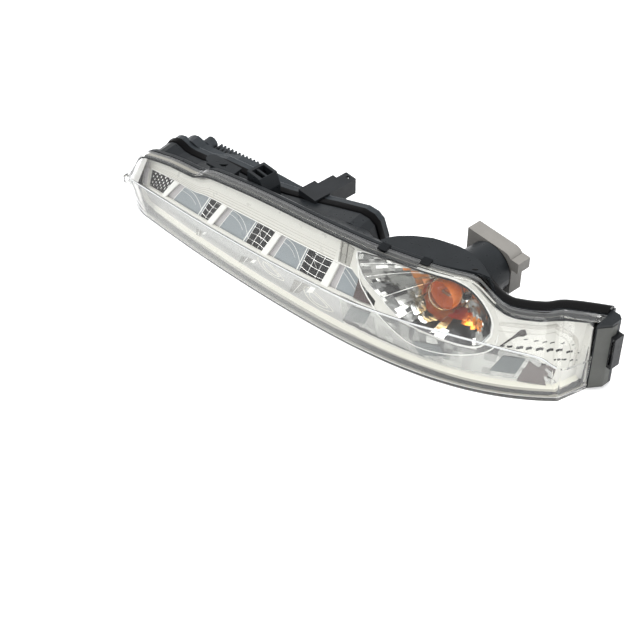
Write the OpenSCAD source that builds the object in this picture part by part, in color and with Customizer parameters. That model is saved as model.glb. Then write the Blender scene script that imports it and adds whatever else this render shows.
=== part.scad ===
/* [Lamp front] */
// Length of the front, from the left end of the straight lower edge to the right corner
front_len = 365; // [340:5:390]
// How far the right corner lies behind the left end
sweep_back = 96; // [86:2:106]
// Height of the long crease in the lens, at its highest
crease_h = 52; // [49:1:55]
// Height of the lens at its tallest
front_h = 88; // [85:1:92]
// Height of the low tail at the right end
tail_h = 62; // [60:1:65]
// Lean of the lower lens face, outwards towards the crease, in degrees
low_rake = 10; // [8:1:11]
// Lean of the upper lens face, back towards the top edge, in degrees
up_rake = 31; // [28:1:33]
// Depth of the flat facet that turns the lens round the right corner
facet_len = 25; // [20:1:30]
/* [Outer lens] */
// Wall of the clear lens
lens_t = 2.5; // [2:0.1:3]
// Depth of the rim that the lens turns back into the housing
skirt_len = 7; // [6:0.5:9]
/* [Housing] */
// Wall of the black housing
wall_t = 2.5; // [2:0.1:3]
// Clearance between pieces that are fitted into each other
fit_gap = 0.3; // [0.2:0.05:0.4]
// Width of the fixing tab on top of the housing
tab_w = 26; // [22:1:30]
// Width of the notch in the fixing tab
notch_w = 6; // [4:0.5:8]
// Diameter of the bore for the fixing screw in the middle bracket
fixing_d = 6.5; // [5.5:0.1:7.5]
/* [Rear box and cover] */
// Length of the box behind the daytime lights
box_len = 208; // [200:1:216]
// Depth of the rim of the rear cover
cover_t = 6.5; // [5:0.5:8]
// Thickness of the seal between the housing and the cover
seal_t = 2.5; // [1.5:0.5:3.5]
/* [Daytime lights] */
// Distance of the white trim behind the face of the lens
trim_depth = 9.5; // [9:0.1:10.5]
// Thickness of the white trim
trim_t = 1.8; // [1.4:0.1:2.2]
// Depth of the chrome cups behind the trim
cup_depth = 17; // [15:0.5:18]
// Width of the white bars between the windows
bar_w = 6; // [4:0.5:8]
// Thickness of the clear light guides
guide_t = 4; // [3:0.5:5]
/* [Indicator] */
// Outer diameter of the neck that the bulb holder twists into
neck_d = 39; // [37:0.5:42]
// Length of the neck behind the cup of the indicator
neck_len = 20; // [18:0.5:23]
// Diameter of the amber bulb
bulb_d = 25; // [22:0.5:26]
// Width of the grey bulb holder
holder_w = 44; // [42:1:48]
// Thickness of the grey bulb holder behind the neck
holder_t = 12; // [10:0.5:14]
/* [Heat sink and connector] */
// Number of fins on the heat sink
fin_count = 11; // [8:1:11]
// Length that the fins stand out
fin_len = 8; // [6:0.5:10]
// Width of the connector
plug_w = 15; // [13:0.5:17]
// Height of the connector
plug_h = 14; // [12:0.5:16]
/* [Hidden] */
$fn = 48;

// Plan of the lower edge: left_x and left_y are its left end, set so that the middle of the
// lamp's outline is the origin, and end_r rounds the left tip
left_x = 0.25 - front_len / 2;
left_y = -21.9 - sweep_back / 2;
end_r = 18;
tip_x = left_x - 14;
tip_s = -14 / front_len;
round_s = (end_r - 14) / front_len;
tip_mid = 30;
facet_dir = 79;
end_lean = 8;

// Heights of the crease and of the top edge as shares of their highest, along the lamp
CREASE = [[-0.04, 0.69], [0, 0.715], [0.1, 0.785], [0.2, 0.83], [0.4, 0.925], [0.6, 1.0],
    [0.78, 1.0], [0.86, 0.955], [0.92, 0.865], [0.97, 0.75], [1, 0.56], [2, 0.52]];
TOP = [[-0.04, 0.62], [0, 0.655], [0.08, 0.735], [0.13, 0.765], [0.165, 0.785], [0.19, 0.835],
    [0.26, 0.885], [0.36, 0.935], [0.5, 0.975], [0.64, 1.0], [0.78, 0.985], [1, 0.95], [2, 0.94]];
TAIL = [[0, 1.1], [0.9, 1.09], [0.96, 1.04], [1, 1.0], [2, 1.0]];
tail_from = 0.835;
tail_to = 0.925;

function smooth(t) = t <= 0 ? 0 : t >= 1 ? 1 : t * t * (3 - 2 * t);
function span(t, x, i = 0) = i >= len(t) - 2 || x < t[i + 1][0] ? i : span(t, x, i + 1);
function grade(t, i) = let (a = max(i - 1, 0), b = min(i + 1, len(t) - 1))
    (t[b][1] - t[a][1]) / (t[b][0] - t[a][0]);
// A smooth curve through the pairs of a table
function spline(t, x) = let (i = span(t, x), h = t[i + 1][0] - t[i][0], p = (x - t[i][0]) / h)
    t[i][1] * (2 * p * p * p - 3 * p * p + 1) + grade(t, i) * h * (p * p * p - 2 * p * p + p)
    + t[i + 1][1] * (3 * p * p - 2 * p * p * p) + grade(t, i + 1) * h * (p * p * p - p * p);

// The lower edge bends slowly at first and then quickly round to the right
function plan_y(s) = left_y + sweep_back * (0.1 * s + 0.45 * s * s + 0.45 * pow(s, 7));
function turn(s) = atan2(sweep_back * (0.1 + 0.9 * s + 3.15 * pow(s, 6)), front_len);
function crease_z(s) = crease_h * spline(CREASE, s);
function top_z(s) = let (k = smooth((s - tail_from) / (tail_to - tail_from)))
    front_h * spline(TOP, s) * (1 - k) + tail_h * spline(TAIL, s) * k;
function low_lean(s) = s < 0.63 ? low_rake : low_rake - (low_rake + 5) * min((s - 0.63) / 0.37, 1);
function up_lean(s) = s <= 1 ? up_rake : up_rake + (7.5 - up_rake) * (s - 1);
// Direction in plan in which a section runs back, as an angle from +Y
function back_dir(s) = s <= 0.95 ? turn(s) : s <= 1 ? turn(0.95) + (45 - turn(0.95)) * (s - 0.95) / 0.05
    : 45 + (end_lean - 45) * (s - 1);
function tip_k(s) = s >= round_s ? 1 : sqrt(1 - pow(1 - (s - tip_s) * front_len / end_r, 2));

// A section of the lamp at s, from 0 at the left to 1 at the corner and 2 at the end of the
// facet, moved inwards by d: its foot, its direction, the heights of its foot, crease and top,
// and how far back the crease and the top lie
function inward(s) = s < 0.999 ? [-sin(turn(s)), cos(turn(s))]
    : s <= 1 ? [-sin((turn(1) + facet_dir) / 2), cos((turn(1) + facet_dir) / 2)]
        / cos((facet_dir - turn(1)) / 2)
    : [-sin(facet_dir), cos(facet_dir)];
function foot(s, d) = s >= 1
    ? [left_x + front_len, plan_y(1)] + (s - 1) * facet_len * [cos(facet_dir), sin(facet_dir)]
    : s < round_s ? [tip_x + d + (s - tip_s) * front_len * (end_r - d) / end_r, plan_y(s)]
    : [left_x + front_len * s, plan_y(s)];
function cut(s, d) = let (k = tip_k(s), c = crease_z(s), t = top_z(s), low = -c * tan(low_lean(s)),
        mid = tip_mid, zb = mid - (mid - d) * k, zt = mid + (t - d - mid) * k)
    [foot(s, d) + d * inward(s), [-sin(back_dir(s)), cos(back_dir(s))], zb,
        mid + (c - mid) * k, zt, low * k, low * k + (zt - mid - (c - mid) * k) * tan(up_lean(s))];
function at(c, n, z) = [c[0][0] + n * c[1][0], c[0][1] + n * c[1][1], z];

// Stations of the sections that the lens, its seal and the housing all share
BODY_S = concat([for (k = [0.02, 0.1, 0.24, 0.42, 0.62, 0.81, 1]) tip_s + k * end_r / front_len],
    [0.03, 0.065, 0.1, 0.135, 0.155, 0.168, 0.179, 0.191, 0.205, 0.235, 0.27, 0.31, 0.36, 0.41,
    0.46, 0.51, 0.56, 0.585, 0.61, 0.645, 0.68, 0.715, 0.75, 0.78, 0.805, 0.825, 0.84, 0.855, 0.87,
    0.885, 0.9, 0.915, 0.935, 0.955, 0.98, 1.0, 1.25, 1.5, 1.75, 2.0]);
function between(s0, s1, n) = [for (i = [0:n]) s0 + (s1 - s0) * i / n];

// Skin over a row of rings that all have the same number of points. The end rings are closed
// as fans, or, where the outline is a folded strip, between its two sides.
module loft(rings, strip = false) {
    n = len(rings);
    m = len(rings[0]);
    sides = [for (i = [0:n - 2], j = [0:m - 1]) let (a = i * m + j, b = i * m + (j + 1) % m)
        each [[a, b + m, b], [a, a + m, b + m]]];
    cap = strip
        ? [for (j = [0:m / 2 - 2]) each [[j, j + 1, m - 2 - j], [j, m - 2 - j, m - 1 - j]]]
        : [for (j = [1:m - 2]) [0, j, j + 1]];
    last = (n - 1) * m;
    polyhedron([for (r = rings) each r],
        concat(sides, cap, [for (f = cap) [last + f[2], last + f[1], last + f[0]]]));
}

// Place of the box behind the daytime lights; it runs along box_dir and its rear faces back
box_x = left_x + 2;
box_y = left_y + cut(0, 0)[6] + 19.78;
box_dir = atan2(0.739 * sweep_back, front_len);
box_front = -4;
box_back = 8;
// Wavy top of the rear box, from its left end, as shares of its length and of the lens's height
BOX_TOP = [[0, 0.648], [0.02, 0.675], [0.041, 0.684], [0.0625, 0.663], [0.082, 0.639], [0.115, 0.63],
    [0.173, 0.636], [0.216, 0.668], [0.26, 0.7], [0.365, 0.705], [0.5, 0.682], [0.577, 0.71],
    [0.716, 0.784], [0.798, 0.835], [0.913, 0.898]];
BOX_RIGHT = [[-10, 0.886], [-5, 0.841], [0, 0.682]];
box_foot = 8;
function box_point(p) = [p[0] * box_len, p[1] * front_h];
function box_outline(inset) = concat(
    [for (p = BOX_TOP) let (q = box_point(p)) [max(q[0], inset), q[1] - inset]],
    [for (p = BOX_RIGHT) [box_len - inset + p[0], p[1] * front_h - inset]],
    [[box_len - inset, box_foot + 6 + inset], [box_len - 5 - inset, box_foot + inset],
    [5 + inset, box_foot + inset], [inset, box_foot + 5 + inset], [inset - 3, 0.34 * front_h],
    [inset - 3, 0.52 * front_h - inset / 2], [inset - 2, 0.614 * front_h - inset]]);
module in_box_frame() {
    translate([box_x, box_y, 0]) rotate(box_dir) children();
}
module upright(w0, w1, outline) {
    translate([0, w1, 0]) rotate([90, 0, 0]) linear_extrude(w1 - w0) polygon(outline);
}
module box_slab(w0, w1, inset) {
    upright(w0, w1, box_outline(inset));
}
seal_back = box_back + seal_t;
cover_back = seal_back + cover_t;

// Indicator: the axis of the bulb stands at axis_s along the lamp; the cup behind it is given as
// pairs of depth behind axis_y and radius, and grows with the lamp
axis_s = 0.7589;
axis_x = left_x + axis_s * front_len;
axis_y = plan_y(axis_s) + 35.3;
axis_z = 0.7045 * front_h;
CUP = [[-30, 59], [-17, 56], [-10, 53], [-2, 47], [7, 38], [12, 30], [15, 26], [18, 20]];
cup_k = max(front_h / 88, front_len / 365);
cup_top = front_h - 1.2;
cup_foot = 3;
cup_x = axis_x - 16;
cup_y = axis_y - 20.5;
cup_dir = turn(axis_s) + 1.5;
cup_reach = 65;
neck_front = 14;
neck_end = CUP[len(CUP) - 1][0] + neck_len;
bore_r = neck_d / 2 - 3;

// How far the housing reaches back behind the foot of the lens, and the height of its rear edge
// as a share of the height of the lens there
REAR_N = [[0.575, 40], [0.61, 30], [0.7, 28], [0.8, 28], [0.84, 33], [0.9, 35], [1, 35], [2, 26]];
REAR_Z = [[-0.04, 0.953], [0, 0.972], [0.05, 0.877], [0.1, 0.836], [0.15, 0.871], [0.22, 0.796],
    [0.3, 0.733], [0.36, 0.766], [0.43, 0.819], [0.5, 0.874], [0.56, 0.875], [0.62, 0.957],
    [0.82, 0.975], [0.88, 0.943], [0.93, 0.937], [1, 0.968], [2, 0.984]];
function to_plane(c, w) = let (k = [-sin(box_dir), cos(box_dir)])
    (w - (c[0] - [box_x, box_y]) * k) / (c[1] * k);
function rear_n(s, c) = s < 0.575 ? to_plane(c, box_front) : spline(REAR_N, s);
function rear_z(s) = top_z(s) * spline(REAR_Z, s);
function squash(s, z) = tip_mid + (z - tip_mid) * tip_k(s);
seal_gap = 1.6;
rim_from = skirt_len + seal_gap;
rim_to = rim_from + 3;
tongue_len = 4;
tongue_t = 1.2;
tongue_in = lens_t + fit_gap + 0.2;

// Round the facet the edges of the lens, its seal and the housing stand back a little
function skew(s) = s > 1 ? 0.9 : 0;
function housing_ring(s) = let (c = cut(s, 0), r = rear_n(s, c), zl = squash(s, 9))
    [at(c, rim_from + skew(s) / 2, c[2]), at(c, 0.6 * r, c[2] + 0.2), at(c, r, zl),
        at(c, r, squash(s, rear_z(s))),
    at(c, c[6] + rim_to + 0.5, c[4] - 0.6), at(c, c[6] + rim_to - 0.5, c[4]),
    at(c, c[6] + rim_from, c[4])];
function tongue_ring(s) = let (c = cut(s, tongue_in))
    [at(c, skirt_len - tongue_len - lens_t, c[2]), at(c, skirt_len + 1, c[2]),
    at(c, c[6] + skirt_len + 1, c[4]), at(c, c[6] + skirt_len - tongue_len - lens_t, c[4])];
function cavity_ring(s) = let (d = tongue_in + tongue_t, c = cut(s, d), o = cut(s, 0),
        r = rear_n(s, o) - wall_t - d)
    [at(c, -2, c[2]), at(c, r, max(c[2] + 0.3, squash(s, 9) + wall_t)),
    at(c, r, min(c[4] - 1.5, squash(s, rear_z(s) - wall_t))),
    at(c, min(r - 1.5, c[6] + rim_to - wall_t), c[4] - 0.5), at(c, c[6] - 2, c[4])];
function between_each(list, f) = [for (i = [0:len(list) - 2]) list[i] + f * (list[i + 1] - list[i])];
TONGUE_S = between_each(BODY_S, 0.37);
ROOM_S = concat(between_each(BODY_S, 0.5), [2.016]);
CAVITY_S = concat([for (k = [0.24, 0.53, 0.83]) tip_s + k * end_r / front_len],
    [for (s = between_each(BODY_S, 0.61)) if (s > 0.02) s]);

// Cup behind the bulb, cut flat at its top and bottom and at its front
module cup(inset) {
    intersection() {
        translate([axis_x, axis_y, axis_z]) rotate([-90, 0, 0]) rotate_extrude($fn = 64)
            polygon(concat([[0, CUP[0][0]]], [for (p = CUP) [p[1] * cup_k - inset, p[0] - inset / 3]],
                [[0, CUP[len(CUP) - 1][0] - inset / 3]]));
        translate([cup_x, cup_y, cup_foot + inset]) rotate(cup_dir)
            translate([-cup_reach * cup_k, inset > 0 ? -6 : 0, 0])
                cube([2 * cup_reach * cup_k, 2 * cup_reach, cup_top - cup_foot - 2 * inset]);
    }
}
module along_axis(y0, y1, r) {
    translate([axis_x, axis_y + y0, axis_z]) rotate([-90, 0, 0])
        cylinder(h = y1 - y0, r = r, $fn = 64);
}

// Room of the lens and its seal: everything in front of the rim of the housing
room_gap = 0.5;
function room_ring(s) = let (c = cut(s, 0), n = rim_from + room_gap)
    [at(c, -11, c[2] - 12), at(c, n, c[2] - 12), at(c, n, c[2]), at(c, c[6] + n, c[4]),
    at(c, c[6] + n, c[4] + front_h), at(c, -11, c[4] + front_h)];

// End wall: a black slab that closes the right end and carries the clip
end_at = foot(2, 0);
END_RING = [[-1.1, 0.7], [0.6, 0.9], [6.75, 10.2], [6.75, 19.2], [3.2, 21.7], [-10, 21],
    [-9.2, 9.5], [-2.3, 9]];
module end_wall() {
    translate([end_at[0], end_at[1], 1]) linear_extrude(tail_h - 1) polygon(END_RING);
}

// Tab plate on top of the housing with its three-cornered notch, and its feet
tab_s = 0.193;
tab_x = left_x + tab_s * front_len;
tab_y = plan_y(tab_s) + cut(tab_s, 0)[6] + 18.5;
tab_z = top_z(tab_s) - 2.5;
tab_deep = 12;
tab_dir = 9;
module tab_plate() {
    translate([tab_x, tab_y, tab_z]) rotate(tab_dir) {
        translate([-tab_w / 2, -tab_deep / 2, 0]) cube([tab_w, tab_deep, 2]);
        translate([-tab_w / 2, 1, 0]) cylinder(h = 2, r = tab_deep / 2 - 1);
        for (x = [2 - tab_w / 2, tab_w / 2 - 5])
            translate([x, -4, -16]) cube([2.5, 9, 16.5]);
    }
}
module tab_notch() {
    translate([tab_x, tab_y, tab_z - 1]) rotate(tab_dir) linear_extrude(4)
        polygon([[-notch_w * 0.7, -1.5], [notch_w * 0.3, -2.5], [notch_w * 0.3, 3]]);
}

// Open bracket in the middle of the housing: a frame with a bar, and a fixing bore behind
bracket_s = 0.2932;
bracket_x = left_x + bracket_s * front_len;
bracket_y = plan_y(bracket_s) + cut(bracket_s, 0)[6] + 31;
bracket_top = top_z(bracket_s) + 4.2;
bracket_foot = rear_z(bracket_s) - 3;
bracket_wall = 2.5;
bracket_deep = 16.5;
window_w = 12;
bore_z = bracket_top - 11;
module bracket() {
    difference() {
        translate([bracket_x, bracket_y, 0]) rotate([90, 0, 0]) linear_extrude(bracket_deep)
            polygon([[-9, bracket_foot], [-9, bracket_top], [6, bracket_top],
                [10, bracket_top - 10], [10, bracket_foot]]);
        translate([bracket_x - 9 + bracket_wall, bracket_y - bracket_deep + bracket_wall,
            bracket_foot + 6]) cube([window_w, bracket_deep - 2 * bracket_wall, 30]);
    }
    translate([bracket_x - 8, bracket_y - 0.6 * bracket_deep, bracket_top - 2.5])
        cube([window_w + 2, 1.8, 2]);
}

// Small dome on the housing behind the tail
dome_s = 0.8466;
dome_r = 4;
module dome() {
    c = cut(dome_s, 0);
    translate(at(c, rear_n(dome_s, c) - 1, rear_z(dome_s) - 14)) cylinder(h = 10, r = dome_r);
    translate(at(c, rear_n(dome_s, c) - 1, rear_z(dome_s) - 4)) sphere(r = dome_r);
}

// Screws of the rear cover, as places along the box and heights
SCREWS = concat([for (p = [[0.0155, 0.568], [0.298, 0.636], [0.529, 0.625], [0.769, 0.75],
    [0.966, 0.705]]) box_point(p)],
    [[0.966 * box_len, box_foot + 7], [0.5 * box_len, box_foot + 5.5],
    [0.0216 * box_len, box_foot + 8.5]]);
screw_r = 1.5;

// Black housing: rim, box behind the daytime lights, cup and neck of the indicator, end wall
module housing() {
    color("#232527") difference() {
        union() {
            loft([for (s = BODY_S) housing_ring(s)]);
            loft([for (s = TONGUE_S) tongue_ring(s)]);
            in_box_frame() {
                difference() {
                    box_slab(box_front - 4, box_back, 0);
                    box_slab(box_front - 5, box_back + 1, wall_t);
                }
                for (p = SCREWS)
                    translate([p[0], box_back, p[1]]) rotate([90, 0, 0]) cylinder(h = 9, r = 4.2);
            }
            along_axis(neck_front, neck_end, neck_d / 2);
            difference() {
                union() {
                    cup(0);
                    end_wall();
                    tab_plate();
                    bracket();
                    dome();
                }
                loft([for (s = ROOM_S) room_ring(s)]);
            }
        }
        loft([for (s = CAVITY_S) cavity_ring(s)]);
        in_box_frame() {
            box_slab(box_front - 6, box_front + 2, wall_t);
            for (p = SCREWS)
                translate([p[0], box_back + 1, p[1]]) rotate([90, 0, 0])
                    cylinder(h = 8, r = screw_r);
        }
        cup(wall_t);
        along_axis(neck_front - 12, neck_end + 1, bore_r);
        tab_notch();
        translate([bracket_x, bracket_y - 6, bore_z]) rotate([-90, 0, 0])
            cylinder(h = 10, r = fixing_d / 2);
    }
}

// Outer lens: a clear moulding whose crease runs the whole length, with a small pip at its tip
module outer_lens() {
    color("#dfe6ea", 0.4) {
        loft([for (s = BODY_S) let (o = cut(s, 0), i = cut(s, lens_t)) [
            at(o, skirt_len, o[2]), at(o, 0, o[2]), at(o, o[5], o[3]), at(o, o[6], o[4]),
            at(o, o[6] + skirt_len, o[4]), at(i, i[6] + skirt_len - lens_t - skew(s) / 3, i[4]),
            at(i, i[6], i[4]), at(i, i[5], i[3]), at(i, 0, i[2]),
            at(i, skirt_len - lens_t - skew(s) / 3, i[2])]], strip = true);
        translate([tip_x - 2.5, left_y - 4, tip_mid - 4]) cube([4, 5, 6]);
    }
}

// Seal: one bead between the rims of the lens and the housing, laid from the right end along
// the bottom, round the left tip and back along the top
function bead(s, top) = let (o = cut(s, 0.4), i = cut(s, lens_t), z = top ? 4 : 2,
        n = top ? [o[6], i[6]] : [0, 0], n0 = skirt_len + fit_gap, n1 = rim_from - fit_gap,
        n2 = n1 - lens_t - skew(s))
    [at(o, n[0] + n0 - 0.4, o[z]), at(o, n[0] + n1 - 0.4, o[z]),
    at(i, n[1] + n2, i[z]), at(i, n[1] + n0 - lens_t, i[z])];
module lens_seal() {
    last = len(BODY_S) - 1;
    color("#6b6b6b")
        loft(concat([for (i = [last:-1:0]) bead(BODY_S[i], false)],
            [for (i = [0:last]) bead(BODY_S[i], true)]));
}

// White trim: heights of its own crease and of the band above the windows
trim_top_gap = tongue_in + tongue_t + fit_gap + 0.4;
trim_low = 8;
win_low = 1;
win_share = 0.34;
trim_end = 1.5;
function trim_cut(s) = cut(s, trim_depth);
function trim_crease(s) = let (c = trim_cut(s)) max(c[3] - trim_low * tip_k(s), c[2] + 0.5);
function trim_top(s) = squash(s, min(top_z(s - 0.012), top_z(s), top_z(s + 0.012)) - trim_top_gap);
function window_top(s) = let (c = cut(s, 0)) c[3] + win_share * (c[4] - c[3]);
// Depth of the trim's face at a height: its lower face follows the lens, its upper one runs
// parallel to the upper face of the lens
function trim_n(s, z) = let (c = trim_cut(s), zk = trim_crease(s), nk = c[5] * 0.8)
    z < zk ? nk * (z - c[2]) / max(zk - c[2], 0.1)
    : nk + (z - zk) * (c[5] + (trim_top(s) - c[3]) * tan(up_lean(s)) - nk) / (trim_top(s) - zk);
function on_trim(s, z, back = 0) = at(trim_cut(s), trim_n(s, z) + back, z);
// Windows of the daytime lights, between bars that stand at these places along the lamp
BARS = [0.106, 0.254, 0.41, 0.562];
// Pocket in the tail: stations along the lamp, and its half height, which runs out in a curve
POCKET_S = [0.905, 0.925, 0.945, 0.962, 0.972, 0.979, 0.983, 0.985];
POCKET_H = [5.6, 5.6, 5.6, 5.4, 4.7, 3.5, 2.3, 1.2];
POCKET = [POCKET_S[0], POCKET_S[len(POCKET_S) - 1]];
pocket_mid = 8.6;
function pocket_half(s) = s < POCKET_S[0] ? POCKET_H[0] : s > POCKET[1] ? POCKET_H[len(POCKET_H) - 1]
    : lookup(s, [for (i = [0:len(POCKET_S) - 1]) [POCKET_S[i], POCKET_H[i]]]);
bar_half = bar_w / 2 / front_len;
CELLS = [[0.02, BARS[0] - bar_half], [BARS[0] + bar_half, BARS[1] - bar_half],
    [BARS[1] + bar_half, BARS[2] - bar_half], [BARS[2] + bar_half, BARS[3] - bar_half],
    [BARS[3] + bar_half, 0.665]];
TILES_FROM = [0.07, 0.222, 0.36, 0.5, 0.64];
function cell_top(s) = s < 0.6 ? window_top(s) : window_top(s) - (s - 0.6) * 220;
// Rim of the indicator bowl: its lower and upper half along the lamp, as shares of the height
RIM_LOW = [[0.602, 0.847], [0.6225, 0.739], [0.655, 0.655], [0.7, 0.548], [0.735, 0.484],
    [0.781, 0.436], [0.836, 0.405], [0.872, 0.426], [0.89, 0.523]];
RIM_HIGH = [[0.602, 0.881], [0.615, 0.903], [0.65, 0.92], [0.715, 0.935], [0.78, 0.925],
    [0.832, 0.875], [0.862, 0.795], [0.884, 0.682], [0.89, 0.614]];
BOWL_S = [0.602, 0.611, 0.6225, 0.638, 0.655, 0.676, 0.7, 0.735, 0.775, 0.81, 0.836, 0.858, 0.873,
    0.884, 0.89];
function rim_low(s) = front_h * spline(RIM_LOW, s);
function rim_high(s) = min(front_h * spline(RIM_HIGH, s), trim_top(s) - 1.2);
RIM_FINE = concat([for (s = BOWL_S) [s, rim_high(s)]],
    [for (i = [len(BOWL_S) - 1:-1:0]) [BOWL_S[i], rim_low(BOWL_S[i])]]);
bowl_hole_r = 14;
bowl_back = 8;
bowl_t = 1.2;
function rim_point(p, grow, back) = let (q = on_trim(p[0], p[1], back),
        r = norm([q[0] - axis_x, q[2] - axis_z]))
    [axis_x + (q[0] - axis_x) * (r + grow) / r, q[1], axis_z + (q[2] - axis_z) * (r + grow) / r];
function bowl_ring(t, grow, back) = [for (p = RIM_FINE) let (q = rim_point(p, grow, back),
        r0 = norm([q[0] - axis_x, q[2] - axis_z]), r1 = bowl_hole_r + grow,
        r = r0 + (r1 - r0) * t, yb = axis_y + bowl_back + back)
    [axis_x + (q[0] - axis_x) * r / r0,
    yb - (yb - q[1]) * (r * r - r1 * r1) / (r0 * r0 - r1 * r1),
    axis_z + (q[2] - axis_z) * r / r0]];
BOWL_T = [0, 0.16, 0.34, 0.54, 0.76, 1];
function shifted(ring, v) = [for (p = ring) p + v];
bowl_front = [3, -9, 5];

// The trim is a sheet over a net of places along the lamp and heights; cells of the net that
// fall in a window, in the bowl or in the pocket of the tail stay open
TRIM_S = concat([for (k = [0.12, 0.3, 0.6]) tip_s + k * end_r / front_len],
    [for (c = CELLS) each (c[0] > 0.5 ? [c[0]] : between(c[0], c[1], 3))],
    BOWL_S, POCKET_S, [1, trim_end]);
function inside(x, r) = x > r[0] && x < r[1];
function levels(s) = let (zb = trim_cut(s)[2], zk = trim_crease(s), zt = trim_top(s))
    inside(s, [0.6, 0.6655]) ? [zb, zk, zk + win_low, cell_top(s), rim_low(s), rim_high(s), zt]
    : inside(s, [0.6, 0.8905]) ? let (r = rim_low(s), k = min(zk, zb + (r - zb) * 0.6))
        [zb, k, k + (r - k) * 0.3, k + (r - k) * 0.65, r, rim_high(s), zt]
    : let (tail = s > 0.9, lo = tail ? zk + pocket_mid - pocket_half(s) : zk + win_low,
            hi = tail ? zk + pocket_mid + pocket_half(s) : cell_top(s))
        [zb, zk, lo, hi, hi + (zt - hi) * 0.3, hi + (zt - hi) * 0.6, zt];
function open_cell(i, j) = let (m = (TRIM_S[i] + TRIM_S[i + 1]) / 2)
    j == 2 ? len([for (c = concat(CELLS, [POCKET])) if (inside(m, c)) 1]) > 0
    : j == 4 ? inside(m, [BOWL_S[0], BOWL_S[len(BOWL_S) - 1]]) : false;
level_n = 7;

// Trim: the white bezel behind the lens, with its windows and the opening of the bowl
module trim() {
    n = len(TRIM_S);
    m = level_n;
    net = [for (s = TRIM_S) levels(s)];
    face = [for (i = [0:n - 1], j = [0:m - 1]) on_trim(TRIM_S[i], net[i][j])];
    back = [for (i = [0:n - 1], j = [0:m - 1]) on_trim(TRIM_S[i], net[i][j], trim_t)];
    b = n * m;
    solid = [for (i = [0:n - 2]) [for (j = [0:m - 2]) !open_cell(i, j)]];
    color("#e8e8e4") polyhedron(concat(face, back), [
        for (i = [0:n - 2], j = [0:m - 2]) if (solid[i][j])
            let (p = i * m + j, q = p + m)
            each concat(
                [[p, p + 1, q + 1], [p, q + 1, q], [b + p, b + q + 1, b + p + 1],
                [b + p, b + q, b + q + 1]],
                i == 0 || !solid[max(i - 1, 0)][j]
                    ? [[p, b + p, b + p + 1], [p, b + p + 1, p + 1]] : [],
                i == n - 2 || !solid[min(i + 1, n - 2)][j]
                    ? [[q, q + 1, b + q + 1], [q, b + q + 1, b + q]] : [],
                j == 0 || !solid[i][max(j - 1, 0)]
                    ? [[p, q, b + q], [p, b + q, b + p]] : [],
                j == m - 2 || !solid[i][min(j + 1, m - 2)]
                    ? [[p + 1, b + p + 1, b + q + 1], [p + 1, b + q + 1, q + 1]] : [])]);
}

// Tray behind a row of openings: floor, back wall and ceiling, open to the front
tray_gap = trim_t + fit_gap;
module tray(stations, low, high, deep, t) {
    loft([for (i = [0:len(stations) - 1]) let (s = stations[i], zl = low[i], zh = high[i],
            back = trim_n(s, zl) + deep[i])
        [on_trim(s, zl, tray_gap), on_trim(s, zl, deep[i]), on_trim(s, zh, back - trim_n(s, zh)),
        on_trim(s, zh, tray_gap), on_trim(s, zh - t, tray_gap),
        on_trim(s, zh - t, back - t - trim_n(s, zh)), on_trim(s, zl + t, deep[i] - t),
        on_trim(s, zl + t, tray_gap)]], strip = true);
}
LED_S = concat(between(0.028, 0.56, 10), [0.6, 0.63]);
led_low = [for (s = LED_S) trim_crease(s) - 0.6];
led_high = [for (s = LED_S) cell_top(s) + 2.2];
led_deep = [for (s = LED_S) min(trim_t + cup_depth,
    to_plane(trim_cut(s), 1.5) - trim_n(s, trim_crease(s)))];

// A flat slab that stands in a cell, starting behind the trim at s, turned by dir and leaning
// back by a share of the lean of the windows
function window_lean(s) = let (z0 = trim_crease(s), z1 = cell_top(s))
    atan((trim_n(s, z1) - trim_n(s, z0)) / (z1 - z0));
module on_slab(s, dir, back, lean, low) {
    translate(on_trim(s, low, back)) rotate(dir) rotate([-lean, 0, 0]) children();
}
tile_dir = 34;
tile_wide = 17;
tile_back = 5.5;
tile_cols = 3;
tile_rows = 4;
// Chrome cups of the daytime lights: one moulding with a wall of small tiles in each cell
module led_reflector() {
    color("#8f959b") {
        tray(LED_S, led_low, led_high, led_deep, 1.2);
        for (i = [0:3]) {
            s = TILES_FROM[i];
            low = trim_crease(s) + 0.2;
            high = cell_top(s) - fit_gap;
            lean = window_lean(s) / 2;
            tall = (high - low) / cos(lean);
            step = (tall - 1.5) / tile_rows;
            on_slab(s, tile_dir, tile_back, lean, low) {
                cube([tile_wide, 1.5, tall]);
                for (u = [0:tile_cols - 1], v = [0:tile_rows - 1])
                    translate([0.6 + u * tile_wide / tile_cols, -0.7, 1 + v * step])
                        cube([tile_wide / tile_cols - 0.9, 1.2, step - 0.8]);
            }
        }
    }
}

// Light guides: clear blue-grey panels that stand in the cells beside the tiles
guide_dir = 12;
guide_lean = 0.7;
module light_guide(i) {
    s = CELLS[i][0] + 0.004;
    wide = (TILES_FROM[i] - s) * front_len - 1.5;
    lean = window_lean(s) * guide_lean;
    low = max(trim_crease(s), trim_crease(TILES_FROM[i])) + 0.6 + fit_gap + guide_t * sin(lean);
    high = min(cell_top(s), cell_top(TILES_FROM[i])) - fit_gap;
    color("#a9b6c4", 0.7) on_slab(s, guide_dir, tray_gap + 1.2, lean, low)
        cube([wide, guide_t, (high - low) / cos(lean)]);
}
module light_guide_1() light_guide(1);
module light_guide_2() light_guide(2);
module light_guide_3() light_guide(3);
module light_guide_4() light_guide(4);

// Bowl of the indicator: a chrome paraboloid whose rim follows the trim
module indicator_reflector() {
    color("#d5d8da") difference() {
        loft([for (t = BOWL_T) bowl_ring(t, -fit_gap, bowl_t)]);
        loft(concat([shifted(bowl_ring(0, -bowl_t - fit_gap, 0), bowl_front)],
            [for (t = BOWL_T) bowl_ring(t, -bowl_t - fit_gap, 0)],
            [shifted(bowl_ring(1, -bowl_t - fit_gap, 0), [0, bowl_t + 2, 0])]));
    }
}

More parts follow.
